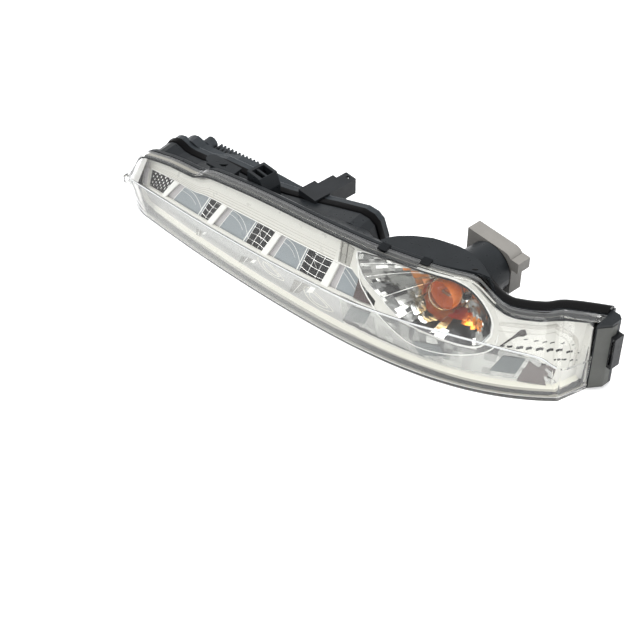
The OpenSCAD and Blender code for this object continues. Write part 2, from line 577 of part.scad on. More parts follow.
// Chrome tray in the tail
side_deep = 14;
module side_reflector() {
    color("#c9ccce")
        tray(POCKET_S, [for (s = POCKET_S) trim_crease(s) + 1.2],
            [for (s = POCKET_S) trim_crease(s) + 2 * pocket_mid - 1.2],
            [for (s = POCKET_S) side_deep], 1.2);
}

// Light board behind the cups and its light chips
board_front = 5.4;
board_t = 1.6;
board_low = 22;
board_high = 44;
chip = 5;
module led_board() {
    color("#2f6b45") in_box_frame()
        translate([0.067 * box_len, board_front, board_low])
            cube([0.875 * box_len, board_t, board_high - board_low]);
}
module led_chips() {
    color("#f0e08a") in_box_frame()
        for (i = [0:4])
            translate([(0.115 + i * 0.183) * box_len, board_front - 0.9,
                (board_low + board_high - chip) / 2]) cube([chip, 0.9, chip]);
}

// Amber bulb, its metal cap, and the grey holder that twists into the neck
bulb_y = -6;
cap_r = 9;
cap_y = 10;
cap_len = 14;
module bulb_glass() {
    color("#f08a1d", 0.8) {
        translate([axis_x, axis_y + bulb_y, axis_z]) sphere(d = bulb_d);
        along_axis(bulb_y, cap_y, cap_r - 1.5);
    }
}
module bulb_cap() {
    color("#b9bcc0") {
        along_axis(cap_y, cap_y + cap_len, cap_r);
        translate([axis_x - cap_r - 1.4, axis_y + cap_y + 5, axis_z - 1])
            cube([2 * cap_r + 2.8, 2, 2]);
    }
}
seat_y = neck_end + 1.5;
plug_r = bore_r - 1.2;
lug_w = 7;
corner_r = 8;
socket_w = 18;
socket_h = 9;
socket_deep = 8;
module bulb_holder() {
    color("#8a8782") difference() {
        union() {
            along_axis(neck_end - 20, seat_y + 1, plug_r);
            translate([axis_x - holder_w / 2 - 3, axis_y + seat_y, axis_z - 16]) {
                difference() {
                    cube([holder_w, holder_t, 35]);
                    translate([holder_w - corner_r, -1, 35 - corner_r])
                        difference() {
                            cube([corner_r + 1, holder_t + 2, corner_r + 1]);
                            rotate([-90, 0, 0]) cylinder(h = holder_t + 2, r = corner_r);
                        }
                }
                translate([holder_w - 1, 0, 23]) cube([lug_w, holder_t, 9]);
            }
        }
        along_axis(neck_end - 21, cap_y + cap_len + fit_gap, cap_r + fit_gap);
        translate([axis_x - cap_r - 1.4 - fit_gap, axis_y + neck_end - 21, axis_z - 1 - fit_gap])
            cube([2 * (cap_r + 1.4 + fit_gap), 1, 2 + 2 * fit_gap]);
        translate([axis_x - socket_w / 2, axis_y + seat_y + holder_t - socket_deep, axis_z - 12])
            cube([socket_w, socket_deep + 1, socket_h]);
    }
}
module holder_seal() {
    color("#141414") difference() {
        along_axis(neck_end, seat_y, neck_d / 2 - 1);
        along_axis(neck_end - 1, seat_y + 1, plug_r);
    }
}
module holder_contacts() {
    color("#c9a24a")
        for (x = [-5, 3])
            translate([axis_x + x, axis_y + seat_y + holder_t - socket_deep, axis_z - 8.5])
                cube([2, 6, 1]);
}

// Rear cover with its steps, and the window in it for the heat sink
step_back = cover_back + 2.5;
shelf_back = cover_back + 8;
shelf_from = 7;
shelf_to = 0.62;
cover_wall = 8;
sink_base = 4.5;
sink_a = 17;
sink_len = 58;
sink_low = 14;
sink_high = 50;
fins_from = 11;
fins_to = 48.5;
boss_r = 5.5;
SINK_SCREWS = [[sink_a + 5, sink_high + 1], [sink_a + sink_len - 4, (sink_low + sink_high) / 2]];
pad_from = sink_a + 13;
pad_len = 32;
pad_low = sink_low + 5;
pad_high = sink_high - 7;
function shelf_outline(inset) = concat(
    [for (p = BOX_TOP) if (p[0] < shelf_to - 0.08) let (q = box_point(p))
        [max(q[0], inset) + shelf_from, q[1] - 1 - inset]],
    [[shelf_to * box_len + 3 - inset, 0.66 * front_h - inset],
    [shelf_to * box_len + 7 - inset, 0.55 * front_h],
    [shelf_to * box_len + 7 - inset, box_foot + 4 + inset],
    [shelf_from + inset, box_foot + 4 + inset]]);
module rear_cover() {
    color("#2b2e31") in_box_frame() difference() {
        union() {
            box_slab(seal_back, cover_back, 0);
            box_slab(cover_back - 1, step_back, 6);
            upright(cover_back - 1, shelf_back, shelf_outline(0));
        }
        difference() {
            box_slab(seal_back - 1, cover_back, cover_wall);
            translate([shelf_to * box_len - 6, 0, 0]) cube([12, cover_back, front_h]);
        }
        upright(cover_back - 1, shelf_back - 3, shelf_outline(11));
        translate([pad_from - fit_gap, 0, pad_low - fit_gap])
            cube([pad_len + 2 * fit_gap, shelf_back + 1, pad_high - pad_low + 2 * fit_gap]);
        sink_holes(1.5, shelf_back - 2.5, shelf_back + 1);
        for (p = SCREWS)
            translate([p[0], shelf_back + 1, p[1]]) rotate([90, 0, 0]) {
                cylinder(h = shelf_back - seal_back + 2, r = screw_r + fit_gap);
                cylinder(h = shelf_back - cover_back + 1, r = 4);
            }
    }
}
module cover_seal() {
    color("#101010") in_box_frame() difference() {
        box_slab(box_back, seal_back, 1.5);
        box_slab(box_back - 1, seal_back + 1, 4.5);
        for (p = SCREWS)
            translate([p[0], seal_back + 1, p[1]]) rotate([90, 0, 0])
                cylinder(h = seal_t + 2, r = screw_r + 1);
    }
}
module cover_screws() {
    color("#3a3a3c") in_box_frame()
        for (p = SCREWS)
            translate([p[0], cover_back, p[1]]) rotate([90, 0, 0]) {
                cylinder(h = 14, r = screw_r - 0.05);
                translate([0, 0, -2.2]) cylinder(h = 2.2, r = 3.2);
            }
}

// Heat sink on the cover, with its fins to the rear and a pad that reaches the light board
module sink_holes(r, w0, w1) {
    for (p = SINK_SCREWS)
        translate([p[0], w1, p[1]]) rotate([90, 0, 0]) cylinder(h = w1 - w0, r = r);
}
module heat_sink() {
    color("#54585c") in_box_frame() difference() {
        union() {
            translate([sink_a, shelf_back, sink_low])
                cube([sink_len, sink_base, sink_high - sink_low]);
            translate([pad_from, board_front + board_t, pad_low])
                cube([pad_len, shelf_back + 1 - board_front - board_t, pad_high - pad_low]);
            translate([SINK_SCREWS[0][0], shelf_back + sink_base + 4, SINK_SCREWS[0][1]])
                rotate([90, 0, 0]) cylinder(h = sink_base + 4, r = boss_r);
            for (i = [0:fin_count - 1])
                translate([sink_a + fins_from + i * (fins_to - fins_from) / (fin_count - 1),
                    shelf_back + sink_base - 1, sink_low])
                    cube([1.4, fin_len + 1, sink_high - sink_low]);
        }
        sink_holes(1.8, shelf_back - 1, shelf_back + sink_base + 5);
        translate([SINK_SCREWS[0][0], shelf_back + sink_base + 5, SINK_SCREWS[0][1]])
            rotate([90, 0, 0]) cylinder(h = 5, r = 3.4);
    }
}
module heat_sink_screws() {
    color("#3a3a3c") in_box_frame() {
        sink_holes(1.4, shelf_back - 2, shelf_back + sink_base + 0.5);
        sink_holes(2.8, shelf_back + sink_base, shelf_back + sink_base + 2);
    }
}

// Connector on the cover, its mouth to the rear, and its two pins
plug_a = 0.705;
plug_back = 20.65;
plug_top = 0.818 * front_h;
plug_end = 25;
slot_w = 7;
slot_deep = 19;
module in_plug_frame() {
    in_box_frame() translate([plug_a * box_len, plug_back, plug_top - plug_h]) rotate(-box_dir)
        children();
}
module connector() {
    color("#35383b") difference() {
        in_plug_frame() {
            translate([-13, -16, 0]) cube([19, 16, plug_h]);
            translate([-9, -2, 0]) cube([plug_w + 0.5, 17, plug_h]);
            translate([-5, 14, 0]) cube([plug_w - 4, plug_end - 14, plug_h]);
        }
        in_box_frame() {
            box_slab(0, cover_back, 0);
            box_slab(cover_back - 1, step_back, 6);
            upright(cover_back - 1, shelf_back, shelf_outline(0));
        }
        in_plug_frame() {
            translate([-3, plug_end - slot_deep, 2]) cube([slot_w, slot_deep + 1, plug_h - 4]);
            translate([-1, plug_end - 5, plug_h - 3]) cube([3, 3, 4]);
        }
    }
}
module connector_pins() {
    color("#c9a24a") in_plug_frame()
        for (z = [4.5, 8.5])
            translate([-0.4, plug_end - slot_deep, z]) cube([2, 12, 0.8]);
}

// Steel clips over the top rim that hold the lens to the housing
CLIPS = [0.655, 0.745];
clip_w = 7;
module lens_clips() {
    color("#b4b6b8")
        for (s = CLIPS)
            translate(at(cut(s, 0), cut(s, 0)[6] + 3, max(top_z(s - 0.012), top_z(s)) + 0.15))
                rotate(turn(s)) translate([-clip_w / 2, 0, 0]) cube([clip_w, 8, 0.8]);
}

// Spring clip on the end wall
clip_low = 0.34;
clip_tall = 29;
module end_clip() {
    color("#17181a") translate([end_at[0] + END_RING[2][0], end_at[1] + END_RING[2][1],
        clip_low * tail_h]) difference() {
        cube([4.5, END_RING[3][1] - END_RING[2][1], clip_tall]);
        translate([1.5, -1, 3]) cube([1.6, 11, clip_tall - 6]);
    }
}

// Round cap of the breather on the rear cover
vent_a = 0.856;
vent_z = 30;
vent_t = 3;
module vent_cap() {
    color("#1d1d1f") in_box_frame()
        translate([vent_a * box_len, step_back + vent_t, vent_z]) rotate([90, 0, 0])
            cylinder(h = vent_t, r = 7);
}

housing();
outer_lens();
lens_seal();
trim();
led_reflector();
light_guide_1();
light_guide_2();
light_guide_3();
light_guide_4();
led_board();
led_chips();
indicator_reflector();
side_reflector();
bulb_glass();
bulb_cap();
bulb_holder();
holder_seal();
holder_contacts();
rear_cover();
cover_seal();
cover_screws();
heat_sink();
heat_sink_screws();
connector();
connector_pins();
lens_clips();
end_clip();
vent_cap();
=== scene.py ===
import math

import bpy
import numpy as np
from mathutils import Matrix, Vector


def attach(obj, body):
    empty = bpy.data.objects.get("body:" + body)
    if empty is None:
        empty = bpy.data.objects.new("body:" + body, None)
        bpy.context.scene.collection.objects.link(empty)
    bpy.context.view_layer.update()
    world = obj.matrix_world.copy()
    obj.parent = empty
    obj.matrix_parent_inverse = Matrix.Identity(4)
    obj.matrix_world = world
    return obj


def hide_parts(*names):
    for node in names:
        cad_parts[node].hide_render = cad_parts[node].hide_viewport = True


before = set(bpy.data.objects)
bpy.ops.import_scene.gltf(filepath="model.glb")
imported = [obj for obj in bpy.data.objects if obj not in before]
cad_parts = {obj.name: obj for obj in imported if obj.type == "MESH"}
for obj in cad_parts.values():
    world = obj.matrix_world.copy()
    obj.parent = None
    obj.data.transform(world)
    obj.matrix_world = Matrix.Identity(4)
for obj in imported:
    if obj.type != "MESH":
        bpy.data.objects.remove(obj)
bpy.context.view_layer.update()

# ---- Camera and studio ----------------------------------------------------------------------
# Not part of the lamp: a long lens from the right front and above, a pale floor that takes a
# soft shadow, and a white room that metal and clear plastic mirror as well.
MM = 0.001
TARGET = Vector((0.00775, -0.0444, 0.0))
TOWARDS_CAMERA = Vector((0.548, -0.481, 0.685)).normalized()
CAMERA_DISTANCE = 1.128


def linear(hex_colour):
    """sRGB hex to linear light: a part below 0.04045 is divided by 12.92, any other is raised by 2.4."""
    part = np.array([int(hex_colour[i:i + 2], 16) for i in (1, 3, 5)]) / 255
    return (*np.where(part <= 0.04045, part / 12.92, ((part + 0.055) / 1.055) ** 2.4), 1.0)


def add_node(material, kind, sockets=None, **settings):
    """Adds a shader node, sets its attributes, and fills its sockets with values or with links."""
    added = material.node_tree.nodes.new(kind)
    for name, value in settings.items():
        setattr(added, name, value)
    for key, value in (sockets or {}).items():
        if isinstance(value, bpy.types.NodeSocket):
            material.node_tree.links.new(value, added.inputs[key])
        else:
            added.inputs[key].default_value = value
    return added


def seen_directly(holder):
    """1 for camera, glossy and transmission rays, and 0 for the rays that light the lamp."""
    path = add_node(holder, "ShaderNodeLightPath")
    some = add_node(holder, "ShaderNodeMath", {0: path.outputs["Is Camera Ray"],
                                               1: path.outputs["Is Glossy Ray"]}, operation="MAXIMUM")
    every = add_node(holder, "ShaderNodeMath", {0: some.outputs[0],
                                                1: path.outputs["Is Transmission Ray"]},
                     operation="MAXIMUM")
    return every.outputs[0]


camera_data = bpy.data.cameras.new("camera")
camera_data.lens = 84.375
camera_data.sensor_width = 36
camera_data.clip_start = 0.05
camera = bpy.data.objects.new("camera", camera_data)
bpy.context.scene.collection.objects.link(camera)
camera.location = TARGET + TOWARDS_CAMERA * CAMERA_DISTANCE
camera.rotation_mode = "QUATERNION"
camera.rotation_quaternion = (-TOWARDS_CAMERA).to_track_quat("-Z", "Y")
bpy.context.scene.camera = camera
bpy.context.scene.view_settings.view_transform = "Standard"

world = bpy.data.worlds.new("white_room")
world.use_nodes = True
bpy.context.scene.world = world
room = world.node_tree.nodes["Background"]
room_light = add_node(world, "ShaderNodeBackground",
                      {"Color": linear("#F4F6FA"), "Strength": 0.5})
room.inputs["Color"].default_value = linear("#FFFFFF")
room.inputs["Strength"].default_value = 1.0
room_mix = add_node(world, "ShaderNodeMixShader", {0: seen_directly(world),
                                                   1: room_light.outputs[0], 2: room.outputs[0]})
world.node_tree.links.new(room_mix.outputs[0], world.node_tree.nodes["World Output"].inputs["Surface"])

LAMPS = [("key_light", (-0.75, -1.0, 1.5), 1.1, 14.5), ("top_light", (0.15, 0.35, 1.8), 1.2, 22.0),
         ("side_light", (1.5, -0.35, 0.7), 0.9, 6.0)]
for lamp_name, place, width, watts in LAMPS:
    light = bpy.data.lights.new(lamp_name, "AREA")
    light.shape = "DISK"
    light.size = width
    light.energy = watts
    holder = bpy.data.objects.new(lamp_name, light)
    bpy.context.scene.collection.objects.link(holder)
    holder.location = place
    holder.rotation_mode = "QUATERNION"
    holder.rotation_quaternion = (-Vector(place)).to_track_quat("-Z", "Y")
    # Chrome mirrors the even white tent, not the lamps in it
    holder.visible_glossy = False


def paper_white():
    """Matt white paper: even, with a faint fibre mottle 6 mm wide, and white where no shadow falls."""
    material = bpy.data.materials.new("white_paper_matt")
    material.use_nodes = True
    tree = material.node_tree
    shader = tree.nodes["Principled BSDF"]
    place = add_node(material, "ShaderNodeTexCoord").outputs["Object"]
    mottle = add_node(material, "ShaderNodeTexNoise", {"Vector": place, "Scale": 160.0, "Detail": 2.0})
    tone = add_node(material, "ShaderNodeMix", {0: mottle.outputs["Fac"], 6: linear("#EFEFEF"),
                                                7: linear("#F3F3F3")}, data_type="RGBA")
    tree.links.new(tone.outputs[2], shader.inputs["Base Color"])
    shader.inputs["Roughness"].default_value = 0.9
    shader.inputs["Specular IOR Level"].default_value = 0.1
    glow = add_node(material, "ShaderNodeEmission", {"Color": linear("#FFFFFF"), "Strength": 0.42})
    both = add_node(material, "ShaderNodeAddShader", {0: shader.outputs[0], 1: glow.outputs[0]})
    pick = add_node(material, "ShaderNodeMixShader", {0: seen_directly(material),
                                                      1: shader.outputs[0], 2: both.outputs[0]})
    tree.links.new(pick.outputs[0], tree.nodes["Material Output"].inputs["Surface"])
    return material


def disc(radius, z, count=96):
    """Points of a flat disc at height z: (radius cos a, radius sin a, z)."""
    a = np.linspace(0, 2 * np.pi, count, endpoint=False)
    return np.stack([radius * np.cos(a), radius * np.sin(a), np.full(count, z)], 1)


floor_mesh = bpy.data.meshes.new("floor")
floor_mesh.from_pydata(disc(3.2, -0.0006).tolist(), [], [list(range(96))])
floor_mesh.materials.append(paper_white())
floor = bpy.data.objects.new("floor", floor_mesh)
bpy.context.scene.collection.objects.link(floor)

# ---- Housing --------------------------------------------------------------------------------
# Black moulded plastic body. Its shape comes from the frame; the faces carry a fine spark-eroded
# grain, a little paler where they were handled, and glossier on the drawn rim.


def new_material(name, sockets):
    """A material with its Principled shader's own sockets set; returns it and the shader."""
    material = bpy.data.materials.new(name)
    material.use_nodes = True
    shader = material.node_tree.nodes["Principled BSDF"]
    for key, value in sockets.items():
        shader.inputs[key].default_value = value
    return material, shader


def finish_surface(material, shader, colours, patch_mm, grain_mm, grain_height, roughness):
    """Colour that drifts over patches, roughness that follows it, and a bump grain, all in real sizes."""
    tree = material.node_tree
    place = add_node(material, "ShaderNodeTexCoord").outputs["Object"]
    patch = add_node(material, "ShaderNodeTexNoise",
                     {"Vector": place, "Scale": 1000 / patch_mm, "Detail": 4.0, "Roughness": 0.55})
    tone = add_node(material, "ShaderNodeMix", {0: patch.outputs["Fac"], 6: linear(colours[0]),
                                                7: linear(colours[1])}, data_type="RGBA")
    tree.links.new(tone.outputs[2], shader.inputs["Base Color"])
    fleck = add_node(material, "ShaderNodeTexNoise",
                     {"Vector": place, "Scale": 1000 / (patch_mm * 0.22), "Detail": 3.0})
    polish = add_node(material, "ShaderNodeMapRange",
                      {"Value": fleck.outputs["Fac"], "From Min": 0.3, "From Max": 0.7,
                       "To Min": roughness[0], "To Max": roughness[1]})
    tree.links.new(polish.outputs[0], shader.inputs["Roughness"])
    grain = add_node(material, "ShaderNodeTexNoise",
                     {"Vector": place, "Scale": 1000 / grain_mm, "Detail": 2.0})
    bump = add_node(material, "ShaderNodeBump", {"Strength": 0.35, "Distance": grain_height * MM,
                                                 "Height": grain.outputs["Fac"]})
    tree.links.new(bump.outputs[0], shader.inputs["Normal"])
    return material


def dress(node, material):
    """Gives a node of the frame its material in every slot."""
    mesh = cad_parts[node].data
    mesh.materials.clear()
    mesh.materials.append(material)


def grained_plastic(name, colours, grain_mm, grain_height, roughness, specular=0.22):
    """Moulded plastic: a dielectric with IOR 1.5 and a grain from the mould."""
    material, shader = new_material(name, {"IOR": 1.5, "Specular IOR Level": specular})
    return finish_surface(material, shader, colours, 14.0, grain_mm, grain_height, roughness)


# Grained polypropylene: satin, so it shows grey on faces that look up and near black beside them
housing_black = grained_plastic("polypropylene_grained_black", ("#1B1E20", "#282B2E"), 0.7, 0.015,
                                (0.26, 0.42))
dress("housing", housing_black)

# ---- Outer lens -----------------------------------------------------------------------------
# Clear polycarbonate moulding, 2.5 mm thick, hard-coated. It is laid out on the same sections as
# the solid it stands for, with many more of them and with rounded edges.
LEFT_X, LEFT_Y, FRONT_LEN, SWEEP_BACK = -182.25, -69.9, 365.0, 96.0
CREASE_H, FRONT_H, TAIL_H, END_R, TIP_MID = 52.0, 88.0, 62.0, 18.0, 30.0
FACET_DIR, FACET_LEN, END_LEAN = 79.0, 25.0, 8.0
TIP_S = -14 / FRONT_LEN
ROUND_S = (END_R - 14) / FRONT_LEN
LENS_T, SKIRT_LEN = 2.5, 7.0
CREASE = [(-0.04, 0.69), (0, 0.715), (0.1, 0.785), (0.2, 0.83), (0.4, 0.925), (0.6, 1.0),
          (0.78, 1.0), (0.86, 0.955), (0.92, 0.865), (0.97, 0.75), (1, 0.56), (2, 0.52)]
TOP = [(-0.04, 0.62), (0, 0.655), (0.08, 0.735), (0.13, 0.765), (0.165, 0.785), (0.19, 0.835),
       (0.26, 0.885), (0.36, 0.935), (0.5, 0.975), (0.64, 1.0), (0.78, 0.985), (1, 0.95), (2, 0.94)]
TAIL = [(0, 1.1), (0.9, 1.09), (0.96, 1.04), (1, 1.0), (2, 1.0)]


def curve(table, s):
    """Smooth curve through the pairs of a table: a cubic on each span, with its neighbours' mean slope."""
    x, y = np.array(table, float).T
    k = np.arange(len(x))
    a, b = np.maximum(k - 1, 0), np.minimum(k + 1, len(x) - 1)
    slope = (y[b] - y[a]) / (x[b] - x[a])
    s = np.asarray(s, float)
    i = np.clip(np.searchsorted(x, s, side="right") - 1, 0, len(x) - 2)
    h = x[i + 1] - x[i]
    p = (s - x[i]) / h
    return (y[i] * (2 * p**3 - 3 * p**2 + 1) + slope[i] * h * (p**3 - 2 * p**2 + p)
            + y[i + 1] * (3 * p**2 - 2 * p**3) + slope[i + 1] * h * (p**3 - p**2))


def plan_y(s):
    """Depth of the lower edge: a slow bend, and a quick one near the right end."""
    return LEFT_Y + SWEEP_BACK * (0.1 * s + 0.45 * s**2 + 0.45 * s**7)


def turn(s):
    """Direction of the lower edge in plan, in radians."""
    return np.arctan2(SWEEP_BACK * (0.1 + 0.9 * s + 3.15 * s**6), FRONT_LEN)


def crease_z(s):
    return CREASE_H * curve(CREASE, s)


def top_z(s):
    """Height of the top edge: the front's curve, blended into the low tail between two stations."""
    t = np.clip((s - 0.835) / 0.09, 0, 1)
    k = t * t * (3 - 2 * t)
    return FRONT_H * curve(TOP, s) * (1 - k) + TAIL_H * curve(TAIL, s) * k


def up_tan(s):
    return np.tan(np.radians(np.where(s <= 1, 31.0, 31 + (7.5 - 31) * (s - 1))))


def tip_k(s):
    """Share of its height that a section keeps in the rounded left tip."""
    k = np.clip(1 - (s - TIP_S) * FRONT_LEN / END_R, 0, 1)
    return np.where(s >= ROUND_S, 1.0, np.sqrt(1 - k * k))


def section(s, d):
    """Sections at stations s, moved in by d: foot, backward direction, and heights and depths of its corners."""
    s = np.asarray(s, float)
    t1, t95, out = float(turn(1.0)), float(turn(0.95)), math.radians(FACET_DIR)
    s_in = np.clip(s, None, 1)
    back = np.where(s <= 0.95, turn(s_in), np.where(
        s <= 1, t95 + (math.pi / 4 - t95) * (s - 0.95) / 0.05,
        math.pi / 4 + (math.radians(END_LEAN) - math.pi / 4) * (s - 1)))
    middle = (t1 + out) / 2
    way = np.where(s < 0.999, turn(s_in), np.where(s <= 1, middle, out))
    reach = np.where((s >= 0.999) & (s <= 1), 1 / math.cos((out - t1) / 2), 1.0)
    x = np.where(s >= 1, LEFT_X + FRONT_LEN + (s - 1) * FACET_LEN * math.cos(out), np.where(
        s < ROUND_S, LEFT_X - 14 + d + (s - TIP_S) * FRONT_LEN * (END_R - d) / END_R,
        LEFT_X + FRONT_LEN * s))
    y = plan_y(s_in) + np.where(s >= 1, (s - 1) * FACET_LEN * math.sin(out), 0)
    lean = np.where(s < 0.63, 10.0, 10 - 15 * np.clip((s - 0.63) / 0.37, None, 1))
    k, c, t = tip_k(s), crease_z(s), top_z(s)
    low = -c * np.tan(np.radians(lean))
    zc = TIP_MID + (c - TIP_MID) * k
    return {"x": x - d * reach * np.sin(way), "y": y + d * reach * np.cos(way),
            "bx": -np.sin(back), "by": np.cos(back), "zb": TIP_MID - (TIP_MID - d) * k, "zc": zc,
            "zt": TIP_MID + (t - d - TIP_MID) * k, "nc": low * k,
            "nt": low * k + (t - TIP_MID - (c - TIP_MID) * k) * up_tan(s), "k": k}


def at(c, n, z):
    """Points of sections c at depths n and heights z, in millimetres."""
    n, z = np.broadcast_arrays(n, z)
    return np.stack([c["x"] + n * c["bx"], c["y"] + n * c["by"], z + 0 * c["x"]], -1)


def solid(rings, strip=False, loop=False):
    """Closed skin over a row of rings: quads between neighbours, and ends as one flat face or as a
    folded strip of quads; a loop of rings has no ends. Faces are turned out by the sign of the volume."""
    n, m = rings.shape[:2]
    k = np.arange(n * m).reshape(n, m)
    a, b = (k, np.roll(k, -1, 0)) if loop else (k[:-1], k[1:])
    quads = np.stack([a, np.roll(a, -1, 1), np.roll(b, -1, 1), b], -1).reshape(-1, 4)
    points = rings.reshape(-1, 3)
    faces = quads.tolist()
    if not loop and strip:
        j = np.arange(m // 2 - 1)
        ends = np.stack([j, m - 1 - j, m - 2 - j, j + 1], -1)
        faces += ends.tolist() + ((n - 1) * m + ends[:, ::-1]).tolist()
    elif not loop:
        faces += [k[0][::-1].tolist(), k[-1].tolist()]
    p = points[quads] - points.mean(0)
    twice = np.einsum("ij,ij->", p[:, 0], np.cross(p[:, 1], p[:, 2]) + np.cross(p[:, 2], p[:, 3]))
    if twice < 0:
        faces = [f[::-1] for f in faces]
    return points, faces


def add_piece(name, solids, material, body, crease=35.0, replaces=()):
    """One object from several closed skins given in millimetres; it rides on a body of the frame."""
    points, faces, base = [], [], 0
    for p, f in solids:
        points.append(p)
        faces += [[i + base for i in g] for g in f]
        base += len(p)
    mesh = bpy.data.meshes.new(name)
    mesh.from_pydata((np.concatenate(points) * MM).tolist(), [], faces)
    mesh.shade_smooth()
    mesh.set_sharp_from_angle(angle=math.radians(crease))
    mesh.materials.append(material)
    made = bpy.data.objects.new(name, mesh)
    bpy.context.scene.collection.objects.link(made)
    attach(made, body)
    if replaces:
        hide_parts(*replaces)
    return made


def fine_stations(count):
    """Stations along the whole lamp: close together in the tip and evenly spaced after it."""
    tip = TIP_S + END_R / FRONT_LEN * (1 - np.cos(np.linspace(0.05, 1, 20) * np.pi / 2))
    return np.concatenate([tip, np.linspace(ROUND_S, 1, count)[1:], np.linspace(1, 2, 26)[1:]])


def rounded(corners, radii, steps=5):
    """Rounds the middle corners of a row of (n, z) arrays by a quadratic arc between two points
    that lie a radius away on the two sides."""
    rows = [corners[0]]
    for before, corner, after, radius in zip(corners, corners[1:], corners[2:], radii):
        u = [before[i] - corner[i] for i in (0, 1)]
        v = [after[i] - corner[i] for i in (0, 1)]
        lu, lv = np.maximum(np.hypot(*u), 1e-6), np.maximum(np.hypot(*v), 1e-6)
        ru, rv = np.minimum(radius, lu * 0.45), np.minimum(radius, lv * 0.45)
        p = [corner[i] + u[i] / lu * ru for i in (0, 1)]
        q = [corner[i] + v[i] / lv * rv for i in (0, 1)]
        for t in np.linspace(0, 1, steps):
            rows.append([p[i] * (1 - t)**2 + 2 * corner[i] * t * (1 - t) + q[i] * t**2 for i in (0, 1)])
    return rows + [corners[-1]]


def lens_rows(s, d, depth, radii):
    """Profile of the lens moved in by d, from the rim of its lower edge to the rim of its top."""
    c = section(s, d)
    o = section(s, 0)
    corners = [[depth + 0 * o["x"], c["zb"]], [0 * o["x"], c["zb"]], [c["nc"], c["zc"]],
               [c["nt"], c["zt"]], [c["nt"] + depth, c["zt"]]]
    return [at(c, n, z) for n, z in rounded(corners, radii)]


lens_s = fine_stations(260)
lens_out = np.stack(lens_rows(lens_s, 0.0, SKIRT_LEN, (0.9, 0.06, 0.9)), 1)
lens_in = np.stack(lens_rows(lens_s, LENS_T, SKIRT_LEN - LENS_T - 0.3, (0.5, 0.06, 0.5)), 1)
lens_skin = solid(np.concatenate([lens_out, lens_in[:, ::-1]], 1), strip=True)
pip = np.array([[[LEFT_X - 16.5 + u, LEFT_Y - 4 + v, w] for u, v in ((0, .8), (.8, 0), (3.9, 0), (3.9, 5), (0, 5))]
                for w in (TIP_MID - 4, TIP_MID + 2)])


def clear_plastic(name, tint, roughness, sockets=None):
    """Clear moulded plastic: it refracts what the eye sees, and light falls through it unbent, which
    keeps what lies behind it lit. A very faint ripple from the mould bends the mirrored room."""
    material, shader = new_material(name, {"Transmission Weight": 1.0, "IOR": 1.49,
                                           "Base Color": linear(tint), "Roughness": roughness,
                                           **(sockets or {})})
    tree = material.node_tree
    place = add_node(material, "ShaderNodeTexCoord").outputs["Object"]
    ripple = add_node(material, "ShaderNodeTexNoise", {"Vector": place, "Scale": 45.0, "Detail": 1.0})
    bump = add_node(material, "ShaderNodeBump", {"Strength": 0.05, "Distance": 0.1 * MM,
                                                 "Height": ripple.outputs["Fac"]})
    tree.links.new(bump.outputs[0], shader.inputs["Normal"])
    path = add_node(material, "ShaderNodeLightPath")
    lighting = add_node(material, "ShaderNodeMath", {0: path.outputs["Is Shadow Ray"],
                                                     1: path.outputs["Is Diffuse Ray"]},
                        operation="MAXIMUM")
    through = add_node(material, "ShaderNodeBsdfTransparent", {"Color": linear(tint)})
    pick = add_node(material, "ShaderNodeMixShader", {0: lighting.outputs[0], 1: shader.outputs[0],
                                                      2: through.outputs[0]})
    tree.links.new(pick.outputs[0], tree.nodes["Material Output"].inputs["Surface"])
    return material


# Polycarbonate, moulded and hard-coated: colourless, with sharp white reflections on its edges
lens_clear = clear_plastic("polycarbonate_hard_coated", "#FCFCFA", 0.015)
add_piece("lens_shell", [lens_skin, solid(pip)], lens_clear, "lamp",
          replaces=["outer_lens"])

# The crease of the lens catches the light: that highlight is painted on as a pale line, with a painted hair of shade
# along the left part
crease_s = np.linspace(-0.026, 0.994, 260)
crease_c = section(crease_s, 0)
crease_place = at(crease_c, crease_c["nc"], crease_c["zc"])
crease_step = np.gradient(crease_place, axis=0)
crease_out = np.cross(crease_step, np.stack([0.25 * crease_c["bx"], 0.25 * crease_c["by"], 1 + 0 * crease_s], 1))
crease_out /= np.linalg.norm(crease_out, axis=1, keepdims=True)


def crease_bead(first, last, width, height, rise, up=0.0):
    """Half-round bead on the crease of the lens, up millimetres above it."""
    pick = slice(first, last)
    place, normal = crease_place[pick] + [0, 0, up], crease_out[pick]
    side = np.cross(crease_step[pick], normal)
    side /= np.linalg.norm(side, axis=1, keepdims=True)
    a = np.linspace(0, np.pi, 7)[None, :, None]
    return solid((place + normal * rise)[:, None] + width / 2 * np.cos(a) * side[:, None]
                 + height * np.sin(a) * normal[:, None])


crease_painted_highlight, shader = new_material("polycarbonate_crease_painted_highlight", {"IOR": 1.5, "Roughness": 0.2})
finish_surface(crease_painted_highlight, shader, ("#E4E6E6", "#F0F1F0"), 30.0, 0.8, 0.002, (0.12, 0.22))
add_piece("lens_crease", [crease_bead(0, 150, 1.5, 0.25, -0.5, 0.5), crease_bead(149, 260, 1.4, 0.3, -0.5, 0.45)],
          crease_painted_highlight, "lamp")
crease_painted_shade, shader = new_material("polycarbonate_crease_painted_shade", {"IOR": 1.5, "Roughness": 0.3})
finish_surface(crease_painted_shade, shader, ("#77797A", "#9A9C9C"), 3.0, 0.8, 0.002, (0.2, 0.3))
add_piece("lens_crease_painted_shade", [crease_bead(2, 150, 0.3, 0.12, -0.2)], crease_painted_shade, "lamp")
